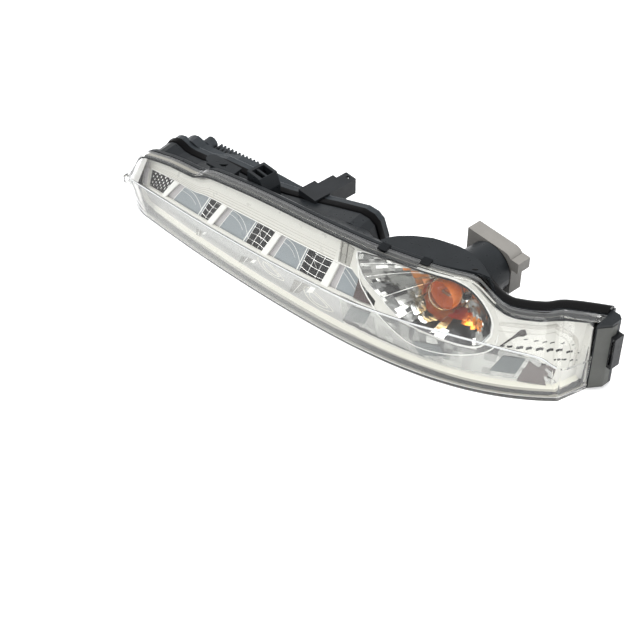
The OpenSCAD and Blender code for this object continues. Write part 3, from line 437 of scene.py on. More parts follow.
# Inside the tip the lens is lined by a pale translucent sheet
tip_s = TIP_S + np.linspace(0.12, 1.0, 16) * END_R / FRONT_LEN * 1.1
tip_rows = []
for depth in (2.62, 2.8):
    c = section(tip_s, depth)
    share = np.linspace(0.03, 0.97, 13)[:, None]
    z = c["zb"] + (c["zt"] - c["zb"]) * share
    n = np.where(z < c["zc"], c["nc"] * (z - c["zb"]) / (c["zc"] - c["zb"]),
                 c["nc"] + (c["nt"] - c["nc"]) * (z - c["zc"]) / (c["zt"] - c["zc"]))
    tip_rows.append(np.moveaxis(at(c, n, z), 0, 1))
tip_sheet = np.concatenate([tip_rows[0], tip_rows[1][:, ::-1]], 1)
pale_sheet, shader = new_material("polycarbonate_frosted_pale", {"IOR": 1.5})
finish_surface(pale_sheet, shader, ("#C3C2C3", "#D9D8D6"), 8.0, 0.8, 0.01, (0.3, 0.4))
add_piece("tip_liner", [solid(tip_sheet)], pale_sheet, "lamp")

# ---- Lens seal ------------------------------------------------------------------------------
# A bead of grey silicone that was laid in the groove before the lens was pressed in.
silicone_grey = grained_plastic("silicone_laid_grey", ("#5F6061", "#737475"), 1.1, 0.12, (0.45, 0.62))
dress("lens_seal", silicone_grey)

# ---- White trim -----------------------------------------------------------------------------
# Moulded ABS, lacquered white with a pearl shine. Fine flutes run along the broad upper band,
# and the sheet carries the openings of the daytime lights, the indicator and the tail.
TRIM_DEPTH, TRIM_T, TRIM_LOW, TRIM_TOP_GAP = 9.5, 1.8, 8.0, 4.9
WINDOW_SHARE, WINDOW_LOW, BAR_HALF = 0.34, 1.0, 3 / FRONT_LEN
BARS = (0.106, 0.254, 0.41, 0.562)
CELLS = [(0.02, BARS[0] - BAR_HALF)] + [(a + BAR_HALF, b - BAR_HALF)
                                        for a, b in zip(BARS, BARS[1:] + (0.665 + BAR_HALF,))]
POCKET = [(0.905, 5.6), (0.925, 5.6), (0.945, 5.6), (0.962, 5.4), (0.972, 4.7), (0.979, 3.5),
          (0.983, 2.3), (0.985, 1.2)]
POCKET_MID = 8.6
RIM_LOW = [(0.602, 0.847), (0.6225, 0.739), (0.655, 0.655), (0.7, 0.548), (0.735, 0.484),
           (0.781, 0.436), (0.836, 0.405), (0.872, 0.426), (0.89, 0.523)]
RIM_HIGH = [(0.602, 0.881), (0.615, 0.903), (0.65, 0.92), (0.715, 0.935), (0.78, 0.925),
            (0.832, 0.875), (0.862, 0.795), (0.884, 0.682), (0.89, 0.614)]
BOWL_FROM, BOWL_TO = 0.602, 0.89
TRIM_END = 1.86


def trim_crease(s):
    c = section(s, TRIM_DEPTH)
    return np.maximum(c["zc"] - TRIM_LOW * c["k"], c["zb"] + 0.5)


def trim_top(s):
    low = np.minimum(np.minimum(top_z(s - 0.012), top_z(s)), top_z(s + 0.012)) - TRIM_TOP_GAP
    return TIP_MID + (low - TIP_MID) * tip_k(s)


def window_top(s):
    c = section(s, 0)
    return c["zc"] + WINDOW_SHARE * (c["zt"] - c["zc"])


def cell_top(s):
    return np.where(s < 0.6, window_top(s), window_top(s) - (s - 0.6) * 220)


def trim_n(s, z):
    """Depth of the trim's face: its lower part follows the lens, its upper part runs beside it."""
    c, zk = section(s, TRIM_DEPTH), trim_crease(s)
    nk = c["nc"] * 0.8
    top = c["nc"] + (trim_top(s) - c["zc"]) * up_tan(s)
    return np.where(z < zk, nk * (z - c["zb"]) / np.maximum(zk - c["zb"], 0.1),
                    nk + (z - zk) * (top - nk) / (trim_top(s) - zk))


def on_trim(s, z, back=0.0):
    """Points at heights z on the trim's face at stations s, back millimetres behind it."""
    s, z = np.broadcast_arrays(np.asarray(s, float), np.asarray(z, float))
    return at(section(s, TRIM_DEPTH), trim_n(s, z) + back, z)


def pocket_half(s):
    return np.interp(s, *np.array(POCKET).T)


def rim_low(s):
    return FRONT_H * curve(RIM_LOW, s)


def rim_high(s):
    return np.minimum(FRONT_H * curve(RIM_HIGH, s), trim_top(s) - 1.2)


# The windows lean: their feet stand nearer the tip of the lamp than their tops
WINDOW_LEAN = [(-0.03, 0), (0.02, 0), (0.106, 0.033), (0.254, 0.03), (0.41, 0.024), (0.562, 0.015),
               (0.62, 0)]


def leaning(s, z):
    """Moves places on the trim towards the tip: most at the crease, not at all above the windows or
    at the foot."""
    s, z = np.broadcast_arrays(np.asarray(s, float), np.asarray(z, float))
    foot, crease, top = section(s, TRIM_DEPTH)["zb"], trim_crease(s), cell_top(s)
    share = np.clip(np.minimum((top - z) / np.maximum(top - crease, 1),
                               (z - foot) / np.maximum(crease - foot, 1)), 0, 1)
    moved = s - np.interp(s, *np.array(WINDOW_LEAN).T) * share
    return moved, z + (trim_crease(moved) - trim_crease(s)) * share


TRIM_MARKS = sorted({TIP_S + k * END_R / FRONT_LEN for k in (0.12, 0.3, 0.6)}
                    | {e for c in CELLS for e in c} | {BOWL_FROM, BOWL_TO, 1.0, TRIM_END}
                    | {p[0] for p in POCKET})
trim_s = np.concatenate([np.linspace(a, b, max(2, int((b - a) * 300)) + 1)[:-1]
                         for a, b in zip(TRIM_MARKS, TRIM_MARKS[1:])] + [[TRIM_MARKS[-1]]])


def trim_levels(s):
    """Heights of the seven lines that divide the trim: foot, crease, window, and the band above it."""
    zb, zk, zt = section(s, TRIM_DEPTH)["zb"], trim_crease(s), trim_top(s)
    low, high, lo, hi = zk + WINDOW_LOW, cell_top(s), rim_low(s), rim_high(s)
    k = np.minimum(zk, zb + (lo - zb) * 0.6)
    left = np.stack([zb, zk, low, high, high + (zt - high) * 0.3, high + (zt - high) * 0.6, zt], 1)
    cell5 = np.stack([zb, zk, low, high, lo, hi, zt], 1)
    bowl = np.stack([zb, k, k + (lo - k) * 0.3, k + (lo - k) * 0.65, lo, hi, zt], 1)
    half = pocket_half(s)
    p0, p1 = zk + POCKET_MID - half, zk + POCKET_MID + half
    tail = np.stack([zb, zk, p0, p1, p1 + (zt - p1) * 0.3, p1 + (zt - p1) * 0.6, zt], 1)
    pick = np.select([(s > 0.6) & (s < 0.6655), (s > 0.6) & (s < 0.8905), s > 0.89], [1, 2, 3], 0)
    return np.stack([left, cell5, bowl, tail])[pick, np.arange(len(s))]


LEVEL_STEPS = (8, 2, 6, 10, 10, 10)
levels = trim_levels(trim_s)
rows, row_level = [levels[:, 0]], []
for j, steps in enumerate(LEVEL_STEPS):
    for t in np.arange(1, steps + 1) / steps:
        rows.append(levels[:, j] * (1 - t) + levels[:, j + 1] * t)
        row_level.append(j)
trim_z, row_level = np.stack(rows, 1), np.array(row_level)
trim_grid_s = np.repeat(trim_s[:, None], trim_z.shape[1], 1)
middle = (trim_s[:-1] + trim_s[1:]) / 2
in_window = np.any([(middle > a) & (middle < b) for a, b in CELLS], 0)
in_bowl = (middle > BOWL_FROM) & (middle < BOWL_TO)
cell_solid = ~((in_window[:, None] & (row_level == 2)) | (in_bowl[:, None] & (row_level == 4)))
band_share = (trim_z - levels[:, 3:4]) / (levels[:, 6:7] - levels[:, 3:4])
flute = np.where((band_share > 0.06) & (band_share < 0.985) & (trim_grid_s < 0.56),
                 0.3 * np.abs(np.sin(band_share * np.pi * 10)), 0)


def sheet_with_openings(front, back, keep):
    """Skin of a sheet on a grid of points: cells that are kept have a front and a back, and a wall
    stands wherever a kept cell has no kept neighbour."""
    n, m = front.shape[:2]
    k = np.arange(n * m).reshape(n, m)
    low, high = k[:-1, :-1], k[1:, 1:]
    left, right = k[:-1, 1:], k[1:, :-1]
    b = n * m
    front_faces = np.stack([low, right, high, left], -1)[keep]
    back_faces = np.stack([low, left, high, right], -1)[keep] + b
    padded = np.pad(keep, 1)
    walls = []
    for p, q, beside in ((low, left, padded[:-2, 1:-1]), (high, right, padded[2:, 1:-1]),
                         (right, low, padded[1:-1, :-2]), (left, high, padded[1:-1, 2:])):
        edge = keep & ~beside
        walls.append(np.stack([p, q, q + b, p + b], -1)[edge])
    faces = np.concatenate([front_faces, back_faces] + walls)
    points = np.concatenate([front.reshape(-1, 3), back.reshape(-1, 3)])
    used, where = np.unique(faces, return_inverse=True)
    return points[used], where.reshape(faces.shape).tolist()


trim_grid_s, trim_z = leaning(trim_grid_s, trim_z)
trim_skin = sheet_with_openings(on_trim(trim_grid_s, trim_z, -flute),
                                on_trim(trim_grid_s, trim_z, TRIM_T), cell_solid)


def lacquer(name, colours, roughness, metallic=0.12):
    """Lacquered plastic: an even coat with a clear layer, which shows soft white bands of light."""
    material, shader = new_material(name, {"IOR": 1.5, "Metallic": metallic, "Coat Weight": 0.35,
                                           "Coat Roughness": 0.08})
    return finish_surface(material, shader, colours, 40.0, 0.9, 0.003, roughness)


trim_white = lacquer("abs_lacquered_pearl_white", ("#E6E5E0", "#EAE9E5"), (0.27, 0.3))
add_piece("trim_bezel", [trim_skin], trim_white, "lamp", crease=50.0, replaces=["trim"])


def run(corners, count=60):
    """Smooth run through pairs: each coordinate is a smooth curve over the number of the pair."""
    k = np.arange(len(corners))
    t = np.linspace(0, k[-1], count)
    return [curve(list(zip(k, column)), t) for column in np.array(corners, float).T]


def outward(s, z):
    """Unit normals of the trim's face, from the cross product of its steps along and up."""
    along = on_trim(s + 0.002, z) - on_trim(s - 0.002, z)
    up = on_trim(s, z + 0.6) - on_trim(s, z - 0.6)
    n = np.cross(along, up)
    return n / np.linalg.norm(n, axis=-1, keepdims=True)


def half_round(points, normal, width, height, loop=False):
    """Half-round bead: points + width / 2 cos a across the run + height sin a along the normal."""
    step = np.roll(points, -1, 0) - np.roll(points, 1, 0) if loop else np.gradient(points, axis=0)
    side = np.cross(step, normal)
    side /= np.linalg.norm(side, axis=-1, keepdims=True)
    a = np.linspace(0, np.pi, 7)[None, :, None]
    rings = points[:, None] + width / 2 * np.cos(a) * side[:, None] + height * np.sin(a) * normal[:, None]
    return solid(rings, loop=loop)


def trim_bead(corners, width, height, count=60, rise=0.0, loop=False):
    """A bead along a run of (station, height) on the trim's face."""
    s, z = run(corners, count)
    return half_round(on_trim(s, z, -rise), outward(s, z), width, height, loop)


def trim_patch(corners, rise, thick=0.12, n=7, lean=False):
    """A thin patch between four corners (station, height), on the trim's face: a bilinear net."""
    a, b, c, d = np.array(corners, float)[:, None, None]
    u, v = np.linspace(0, 1, n)[:, None, None], np.linspace(0, 1, n)[None, :, None]
    s, z = np.moveaxis(a * (1 - u) * (1 - v) + b * u * (1 - v) + c * u * v + d * (1 - u) * v, -1, 0)
    s, z = leaning(s, z) if lean else (s, z)
    return solid(np.concatenate([on_trim(s, z, -rise - thick), on_trim(s, z, -rise)[:, ::-1]], 1))


def along_band(share, s_from=-0.02, s_to=0.556, count=220):
    """Places along the band above the windows, at a share of its height."""
    s = np.linspace(s_from, s_to, count)
    low, high = cell_top(s), trim_top(s)
    return np.stack([s, low + share * (high - low)], 1)


# Warm grey beads in the grooves of the band draw its thin lengthwise lines: painted shade in the grooves
groove_painted_shade = lacquer("abs_warm_grey_painted_groove_shade", ("#B9B6AE", "#C6C3BC"), (0.3, 0.4))
add_piece("band_grooves", [trim_bead(along_band(q), w, 0.35, 220)
                           for q, w in ((0.075, 1.1), (0.2, 0.45), (0.32, 0.5), (0.42, 0.35), (0.93, 0.7))],
          groove_painted_shade, "lamp")
# Gloss white lacquer on the edges of the windows and on the bars between them
gloss_white_and_painted_reflection = lacquer("abs_gloss_white_and_painted_reflection", ("#FAFAF8", "#FFFFFF"), (0.08, 0.14), 0.0)
window_s = np.linspace(0.022, 0.6, 200)
edges = [trim_bead(np.stack([window_s, cell_top(window_s) + 0.55], 1), 0.9, 0.55, 200)]
for s in BARS:
    half = BAR_HALF * 0.86
    edges.append(trim_patch([(s - half, trim_crease(s) + 1.0), (s + half, trim_crease(s) + 1.0),
                             (s + half, cell_top(s) - 0.3), (s - half, cell_top(s) - 0.3)],
                            0.05, 0.3, 7, True))
add_piece("window_edges", edges, gloss_white_and_painted_reflection, "lamp")


# The face below the crease looks down and out of the light: its shade is painted on as a lilac grey
lower_face_painted_shade = lacquer("abs_pearl_white_painted_shade", ("#ACB0B1", "#B5B3B4"), (0.16, 0.26))
skin_s = np.linspace(-0.03, 0.586, 160)
foot, head = section(skin_s, TRIM_DEPTH)["zb"] + 0.8, trim_crease(skin_s) - 1.2
net = np.linspace(0, 1, 9)[None]
skin_z = foot[:, None] * (1 - net) + head[:, None] * net
add_piece("lower_face", [solid(np.concatenate([on_trim(skin_s[:, None], skin_z, -0.14),
                                               on_trim(skin_s[:, None], skin_z, -0.02)[:, ::-1]], 1))],
          lower_face_painted_shade, "lamp")
# The band ends in a satin chrome strip with two dark grooves, beside the indicator
strip_chrome = lacquer("chrome_plated_satin_strip", ("#A3A29C", "#B4B3AE"), (0.2, 0.3), 0.6)
strip = [(0.566, float(cell_top(0.566)) + 1.3), (0.594, float(cell_top(0.594)) + 1.3),
         (0.594, 78.2), (0.56, float(trim_top(np.array(0.56))) - 1.0)]
add_piece("band_strip", [trim_patch(strip, 0.02, 0.3)], strip_chrome, "lamp")
groove_dark = lacquer("abs_lacquered_dark_olive", ("#55544F", "#64635D"), (0.25, 0.35), 0.0)
add_piece("band_strip_grooves", [trim_bead([(0.5695 + k, float(cell_top(0.57)) + 2.5), (0.5645 + k, 79.5)],
                                           0.9, 0.5, 16, 0.15) for k in (0.0, 0.0135)],
          groove_dark, "lamp")
# Ribs across the trim's tip, and its end, which turns out to the edge of the lens
rib_lilac = lacquer("abs_lacquered_lilac_grey", ("#BBB7BC", "#C9C6C9"), (0.25, 0.35))
add_piece("tip_ribs", [trim_bead([(k, float(trim_crease(np.array(k))) + 1.5),
                                  (k - 0.002, float(trim_crease(np.array(k))) + 10.0),
                                  (k + 0.001, float(cell_top(np.array(k))) + 5.0)], 0.9, 0.4, 14)
                       for k in np.linspace(-0.012, 0.014, 6)], rib_lilac, "lamp")
span = np.linspace(0.0, 0.97, 9)
near, far = section(np.array([TRIM_END]), TRIM_DEPTH), section(np.array([1.982]), 3.4)
z_near = 4.0 + (trim_top(np.array([TRIM_END])) - 4.0) * span
z_far = 4.0 + (trim_top(np.array([TRIM_END])) - 4.0) * span
edge_in = on_trim(TRIM_END, z_near)
edge_out = at(far, 2.0 + 0 * z_far, z_far)
back_in = on_trim(TRIM_END, z_near, 1.2)
back_out = at(far, 3.2 + 0 * z_far, z_far)
add_piece("trim_return", [solid(np.stack([edge_in, edge_out, back_out, back_in], 1))], trim_white,
          "lamp")


def inner_band(s, low, high, thick=0.5):
    """Strip inside the lens: between (inset, depth) low and high from its foot, thick to the back."""
    p0, p1 = section(s, low[0]), section(s, high[0])
    return solid(np.stack([at(p0, low[1], p0["zb"]), at(p1, high[1], p1["zb"]),
                           at(p1, high[1] + thick, p1["zb"]), at(p0, low[1] + thick, p0["zb"])], 1))


def inner_top_band(s, low, high, thick=0.4):
    """The same strip below the top edge: inset and depth behind the top edge of the section."""
    p0, p1 = section(s, low[0]), section(s, high[0])
    return solid(np.stack([at(p0, p0["nt"] + low[1], p0["zt"]), at(p1, p1["nt"] + high[1], p1["zt"]),
                           at(p1, p1["nt"] + high[1] + thick, p1["zt"]),
                           at(p0, p0["nt"] + low[1] + thick, p0["zt"])], 1))


# The trim's lower edge turns forward to the lens: a cream lip with a warm grey step below it
lip_s = fine_stations(200)[3:-1]
cream = lacquer("abs_lacquered_cream", ("#EEECDF", "#F3F1E6"), (0.2, 0.3), 0.0)
add_piece("trim_lip", [inner_band(lip_s, (6.3, 0.9), (9.6, 0.2), 0.8)], cream, "lamp")
lip_grey = lacquer("abs_lacquered_stone_grey", ("#A5A299", "#B4B1A8"), (0.3, 0.42))
add_piece("lip_step", [inner_band(lip_s, (4.5, 0.9), (6.3, 0.9), 0.6)], lip_grey, "lamp")
tongue_grey = grained_plastic("polypropylene_flange_grey", ("#858279", "#98958D"), 0.7, 0.03, (0.35, 0.5))
add_piece("tongue_face", [inner_band(lip_s, (2.7, 0.1), (4.3, 0.1), 0.3)], tongue_grey, "lamp")
flange_s = lip_s[lip_s < 0.172]
add_piece("flange_left", [inner_top_band(flange_s, (2.72, 0.0), (2.72, 7.6), 0.01),
                          inner_top_band(flange_s, (2.72, 0.0), (4.6, -0.4), 0.3)],
          tongue_grey, "lamp")
flange_dark = grained_plastic("polypropylene_flange_olive", ("#8E8C84", "#9B9990"), 0.7, 0.03, (0.3, 0.45))
flange_s = lip_s[lip_s > 0.168]
add_piece("flange_right", [inner_top_band(flange_s, (2.72, 0.0), (4.6, -0.4), 0.3)], flange_dark,
          "lamp")

# ---- Daytime lights -------------------------------------------------------------------------
# Dark glossy cups with a wall of small tiles in each cell, whose joints are bright chrome. Clear
# guides stand beside them; behind all of it lie the light board and its chips.
TILES_FROM = (0.07, 0.222, 0.36, 0.5, 0.64)
TILE_DIR, TILE_WIDE, TILE_BACK, TILE_COLS, TILE_ROWS = math.radians(34), 17.0, 5.5, 3, 4
GUIDE_DIR, GUIDE_T, GUIDE_BACK = math.radians(12), 4.0, 3.3


def window_lean(s):
    low, high = trim_crease(s), cell_top(s)
    return np.arctan((trim_n(s, high) - trim_n(s, low)) / (high - low))


def on_slab(s, low, back, way, lean, x, y, z):
    """Places x, y, z on a slab that starts behind the trim at s, leans back and is turned in plan."""
    start = on_trim(s, low, back)
    yl, zl = y * np.cos(lean) + z * np.sin(lean), z * np.cos(lean) - y * np.sin(lean)
    return np.stack([start[0] + x * math.cos(way) - yl * math.sin(way),
                     start[1] + x * math.sin(way) + yl * math.cos(way), start[2] + zl + 0 * x], -1)


def slab_bar(place, p, q, width, depth):
    """Bar on a slab from p to q (x, z), width across and standing out by depth (from, to)."""
    p, q = np.array(p, float), np.array(q, float)
    side = np.array([-(q - p)[1], (q - p)[0]]) / np.hypot(*(q - p)) * width / 2
    ends = []
    for e in (p, q):
        x = np.array([e[0] - side[0], e[0] + side[0], e[0] + side[0], e[0] - side[0]])
        z = np.array([e[1] - side[1], e[1] + side[1], e[1] + side[1], e[1] - side[1]])
        y = -np.array([depth[0], depth[0], depth[1], depth[1]])
        ends.append(place(x, y, z))
    return solid(np.stack(ends))


# Smoked chrome, plated on moulded tiles: near black, with flashes where a tile mirrors the room
tile_black, shader = new_material("smoked_chrome_plated_tiles", {"Metallic": 0.1, "IOR": 1.5,
                                                                 "Specular IOR Level": 0.12})
finish_surface(tile_black, shader, ("#0B0B0D", "#18181B"), 6.0, 1.6, 0.02, (0.16, 0.3))
dress("led_reflector", tile_black)


def vapour_metal(name, colours, roughness, patch_mm=9.0, height=0.03):
    """Vapour-plated metal: a mirror with slow waves from the plastic below it."""
    material, shader = new_material(name, {"Metallic": 1.0})
    return finish_surface(material, shader, colours, patch_mm, 2.4, height, roughness)


# Bright chrome, plated on ribs 0.7 mm wide: thin white lines between the tiles
rib_chrome = vapour_metal("bright_chrome_plated_ribs", ("#EDEEEE", "#FAFAFA"), (0.1, 0.2))
panel_grey = lacquer("acrylic_back_painted_blue_grey", ("#89929A", "#99A1A8"), (0.25, 0.4), 0.0)
panel_pale = lacquer("acrylic_back_painted_lilac_grey", ("#B7B4B8", "#C6C3C6"), (0.3, 0.4), 0.0)
ribs, sides, arcs, tile_faces = [], [], [], []
TILE_FEET = (0.085, 0.22, 0.354, 0.496)
IN_WINDOW = -2.3
for i in range(5):
    if i < 4:
        a, b, right = TILE_FEET[i], TILES_FROM[i] - 0.013, CELLS[i][1] + 0.003
        a, b = (CELLS[0][0] - 0.003, CELLS[0][0] - 0.003) if i == 0 else (a, b)
        corners = [(a, float(trim_crease(a)) - 0.5), (right, float(trim_crease(right)) - 0.5),
                   (right, float(cell_top(right)) + 0.6), (b, float(cell_top(b)) + 0.6)]
        tile_faces.append(trim_patch(corners, IN_WINDOW - 0.4, 0.4, 7, True))
        q = np.array(corners)
        if i == 0:
            for u, v in zip(np.linspace(0.08, 0.9, 26), (np.arange(26) * 0.618) % 1):
                place = np.array([(q[0] + (q[1] - q[0]) * u) * (1 - w) + (q[3] + (q[2] - q[3]) * u) * w
                                  for w in np.linspace(0.1 + 0.75 * v, 0.1 + 0.75 * v + 0.05 + 0.09 * u, 4)])
                bs, bz = leaning(*place.T)
                ribs.append(half_round(on_trim(bs, bz, 2.3), outward(bs, bz), 0.5 + 0.7 * v, 0.35))
            continue
        for u in np.linspace(0.03, 0.97, (3, 3, 4, 4)[i]):
            low_end, high_end = q[0] + (q[1] - q[0]) * u, q[3] + (q[2] - q[3]) * u
            rib = np.array([low_end + (high_end - low_end) * t for t in np.linspace(0, 1, 9)]).T
            bs, bz = leaning(*rib)
            ribs.append(half_round(on_trim(bs, bz, 2.3), outward(bs, bz), 0.5, 0.3))
        for v in (0.22, 0.46, 0.7, 0.92):
            t = np.linspace(0.02, 0.98, 11)[:, None]
            rib = (q[0] + (q[3] - q[0]) * v) * (1 - t) + (q[1] + (q[2] - q[1]) * (v - 0.07)) * t
            rib[:, 1] += 0.9 * np.sin(np.pi * t[:, 0]) * (-1) ** i
            bs, bz = leaning(*rib.T)
            ribs.append(half_round(on_trim(bs, bz, 2.3), outward(bs, bz), 0.38, 0.25))
        if i > 1:
            rib = np.array([q[3] + (q[1] - q[3]) * t for t in np.linspace(0.12, 0.6, 9)]).T
            bs, bz = leaning(*rib)
            ribs.append(half_round(on_trim(bs, bz, 2.3), outward(bs, bz), 0.4, 0.3))
    if i > 0:
        a, b = CELLS[i][0] - 0.003, TILE_FEET[i] if i < 4 else 0.642
        top_b = TILES_FROM[i] - 0.011 if i < 4 else 0.642
        feet, heads = (a, a + 0.2 * (b - a), b), (a, a + 0.2 * (top_b - a), top_b)
        corners = [[(p, float(trim_crease(p)) - 0.5), (q, float(trim_crease(q)) - 0.5),
                    (v, float(cell_top(v)) + 0.6), (u, float(cell_top(u)) + 0.6)]
                   for p, q, u, v in zip(feet, feet[1:], heads, heads[1:])]
        sides.append(trim_patch(corners[0], IN_WINDOW - 0.3, 0.3, 7, True))
        add_piece(f"guide_pane_{i}", [trim_patch(corners[1], IN_WINDOW - 0.4, 0.4, 9, True)], panel_grey,
                  "lamp", replaces=[f"light_guide_{i}"])
        q = np.array(corners[1])
        for k, (reach, drop) in enumerate(((1.0, 0.62), (0.72, 0.3))):
            t = np.linspace(0, 1, 24)[:, None]
            place = (q[3] + (q[2] - q[3]) * t * reach) * (1 - drop * t**2.2) \
                + (q[0] + (q[1] - q[0]) * t * reach) * drop * t**2.2
            place[:, 1] -= 3.0 + 3.5 * k
            bs, bz = leaning(*place.T)
            arcs.append(half_round(on_trim(bs, bz, 2.32), outward(bs, bz), 0.45 - 0.15 * k, 0.2))
        for share, width in ((0.0, 0.5), (0.93, 0.9)):
            ends = [q[0] + (q[1] - q[0]) * share, q[3] + (q[2] - q[3]) * share]
            line = np.array([ends[0] + (ends[1] - ends[0]) * t for t in np.linspace(0.03, 0.97, 9)])
            bs, bz = leaning(*line.T)
            arcs.append(half_round(on_trim(bs, bz, 2.32), outward(bs, bz), width, 0.15))
add_piece("tile_faces", tile_faces, tile_black, "lamp")
add_piece("tile_ribs", ribs, rib_chrome, "lamp")
add_piece("guide_sides", sides, panel_pale, "lamp")
add_piece("guide_lines", arcs, gloss_white_and_painted_reflection, "lamp")
board_green = grained_plastic("fibreglass_board_solder_masked", ("#275A3A", "#33704A"), 0.5, 0.03,
                              (0.3, 0.45))
dress("led_board", board_green)
chip_yellow = grained_plastic("phosphor_silicone_cast", ("#E9D98A", "#F4E9A6"), 0.4, 0.02, (0.3, 0.4))
dress("led_chips", chip_yellow)

# Below the crease the glossy trim would mirror the tiles and the bars; these reflections are painted on it
# as grey panes with a bright joint and white squares. Each cell also has a moulded drip line of thin drop-shaped
# beads.
painted_reflection_grey = lacquer("abs_gloss_grey_painted_reflection", ("#76746F", "#878580"), (0.12, 0.22), 0.3)
panes = [trim_patch(corners, 0.16) for corners in (
    [(0.158, 6.5), (0.176, 10.2), (0.19, 19.5), (0.172, 19.0)],
    [(0.2954, 9.5), (0.3373, 20.5), (0.352, 27.0), (0.3148, 22.8)],
    [(0.4436, 12.5), (0.4726, 17.4), (0.5113, 36.6), (0.4694, 33.2)])]
squares = [trim_patch(corners, 0.18) for corners in (
    [(0.3373, 20.5), (0.3502, 22.5), (0.362, 28.6), (0.352, 27.2)],
    [(0.4952, 24.5), (0.5145, 28.5), (0.5262, 36.8), (0.5145, 36.3)],
    [(0.186, 15.5), (0.196, 17.5), (0.207, 22.4), (0.199, 21.8)])]
squares += [trim_bead(ends, 0.6, 0.3, 12, 0.2) for ends in (
    [(0.3148, 14.6), (0.3334, 24.6)], [(0.4562, 14.8), (0.4904, 34.8)], [(0.166, 8.0), (0.181, 19.0)])]
drops = []
for middle_s, middle_z, long, tall in ((0.402, 27.5, 0.034, 6.8), (0.527, 22.5, 0.036, 8.0)):
    for size in (1.0, 0.62):
        a = np.linspace(0, 2 * np.pi, 40, endpoint=False)
        ds = middle_s + size * long * np.cos(a)
        dz = middle_z - 3.5 * size * np.cos(a) + size * tall * np.sin(a) * (1 - 0.45 * np.cos(a))
        drops.append(half_round(on_trim(ds, dz, -0.14), outward(ds, dz), 0.5, 0.25, loop=True))
add_piece("lower_face_painted_reflections", panes, painted_reflection_grey, "lamp")
# The white squares and bright joints are painted reflections of the bars
add_piece("lower_face_painted_bar_reflections", squares, gloss_white_and_painted_reflection, "lamp")
add_piece("drip_lines", drops, cream, "lamp")

# ---- Indicator bowl -------------------------------------------------------------------------
# Chrome paraboloid pressed with facets. What each facet would mirror of the room, the bulb among them, is painted
# on it: these painted reflections differ from white to near black between neighbours, and a few are amber.
AXIS_S = 0.7589
AXIS_X, AXIS_Z = LEFT_X + AXIS_S * FRONT_LEN, 0.7045 * FRONT_H
AXIS_Y = float(plan_y(np.array(AXIS_S))) + 35.3
BOWL_HOLE_R, BOWL_BACK, BOWL_INSET = 14.0, 8.0, 1.5


def facets_with_painted_reflections(name):
    """Chrome whose facets carry painted reflections of what they would mirror: the attribute tone runs from black
    through grey to white, and the attribute amber turns it to the colour of the bulb, a painted reflection of the
    bulb."""
    material, shader = new_material(name, {"Metallic": 1.0})
    tree = material.node_tree
    finish_surface(material, shader, ("#FFFFFF", "#FFFFFF"), 12.0, 3.0, 0.02, (0.06, 0.16))
    tone = add_node(material, "ShaderNodeAttribute", attribute_name="tone")
    ramp = add_node(material, "ShaderNodeValToRGB", {"Fac": tone.outputs["Fac"]})
    stops = ramp.color_ramp.elements
    stops[0].color, stops[1].color = linear("#0F0F11"), linear("#B4B5B3")
    stops.new(0.5).color = linear("#606161")
    amber = add_node(material, "ShaderNodeAttribute", attribute_name="amber")
    colour = add_node(material, "ShaderNodeMix", {0: amber.outputs["Fac"], 6: ramp.outputs["Color"],
                                                  7: linear("#DC8226")}, data_type="RGBA")
    tree.links.new(colour.outputs[2], shader.inputs["Base Color"])
    return material


def faceted(name, front, back, tone, amber, material):
    """A sheet of flat facets on a grid, with a painted reflection tone and a painted amber share for each facet of its
    front.
    """
    skin = sheet_with_openings(front, back, np.ones(tone.shape, bool))
    made = add_piece(name, [skin], material, "lamp", crease=1.0)
    count = len(made.data.polygons)
    for label, values in (("tone", tone), ("amber", amber)):
        flat = np.full(count, 0.4 if label == "tone" else 0.0)
        flat[:values.size] = values.reshape(-1)
        made.data.attributes.new(label, "FLOAT", "CORNER").data.foreach_set("value", np.repeat(flat, 4))
    return made


def rim_points(n, shrink):
    """The rim of the bowl as one loop: along its upper edge and back along its lower one, drawn in."""
    u = (1 - np.cos(np.linspace(0, np.pi, n))) / 2
    s = BOWL_FROM + (BOWL_TO - BOWL_FROM) * u
    loop_s, loop_z = np.concatenate([s, s[::-1]]), np.concatenate([rim_high(s), rim_low(s)[::-1]])
    p = on_trim(loop_s, loop_z)
    away = np.stack([p[:, 0] - AXIS_X, 0 * p[:, 0], p[:, 2] - AXIS_Z], 1)
    r = np.linalg.norm(away, axis=1, keepdims=True)
    return p - away / r * shrink, loop_s, loop_z


def bowl_points(t, n, lift):
    """Paraboloid from the rim (t = 0) to the hole (t = 1), lift millimetres in front of the bowl."""
    q = rim_points(n, BOWL_INSET)[0]
    q = np.concatenate([q, q[:1]])
    dx, dz = q[:, 0] - AXIS_X, q[:, 2] - AXIS_Z
    r0 = np.hypot(dx, dz)
    t = np.asarray(t, float)[:, None]
    r = r0 + (BOWL_HOLE_R - r0) * t
    base = AXIS_Y + BOWL_BACK
    y = base - (base - q[:, 1]) * (r**2 - BOWL_HOLE_R**2) / (r0**2 - BOWL_HOLE_R**2)
    return np.stack([AXIS_X + dx * r / r0, y - lift, AXIS_Z + dz * r / r0], -1)


BOWL_T = (0.02, 0.06, 0.11, 0.16, 0.22, 0.28, 0.35, 0.43, 0.52, 0.62, 0.74, 0.87, 1.0)
FACET_N = 44
rng = np.random.default_rng(11)
wave = np.sin(1.9 * np.arange(len(BOWL_T)))[:, None] * np.sin(1.3 * np.arange(2 * FACET_N + 1))
wave[:, -1] = wave[:, 0]
lift = 2.0 + 0.3 * wave
front = bowl_points(BOWL_T, FACET_N, lift)
back = bowl_points(BOWL_T, FACET_N, 0.12)
shape = (len(BOWL_T) - 1, 2 * FACET_N)
centre = (front[:-1, :-1] + front[1:, :-1] + front[:-1, 1:] + front[1:, 1:]) / 4
right, up = centre[..., 0] - AXIS_X, centre[..., 2] - AXIS_Z


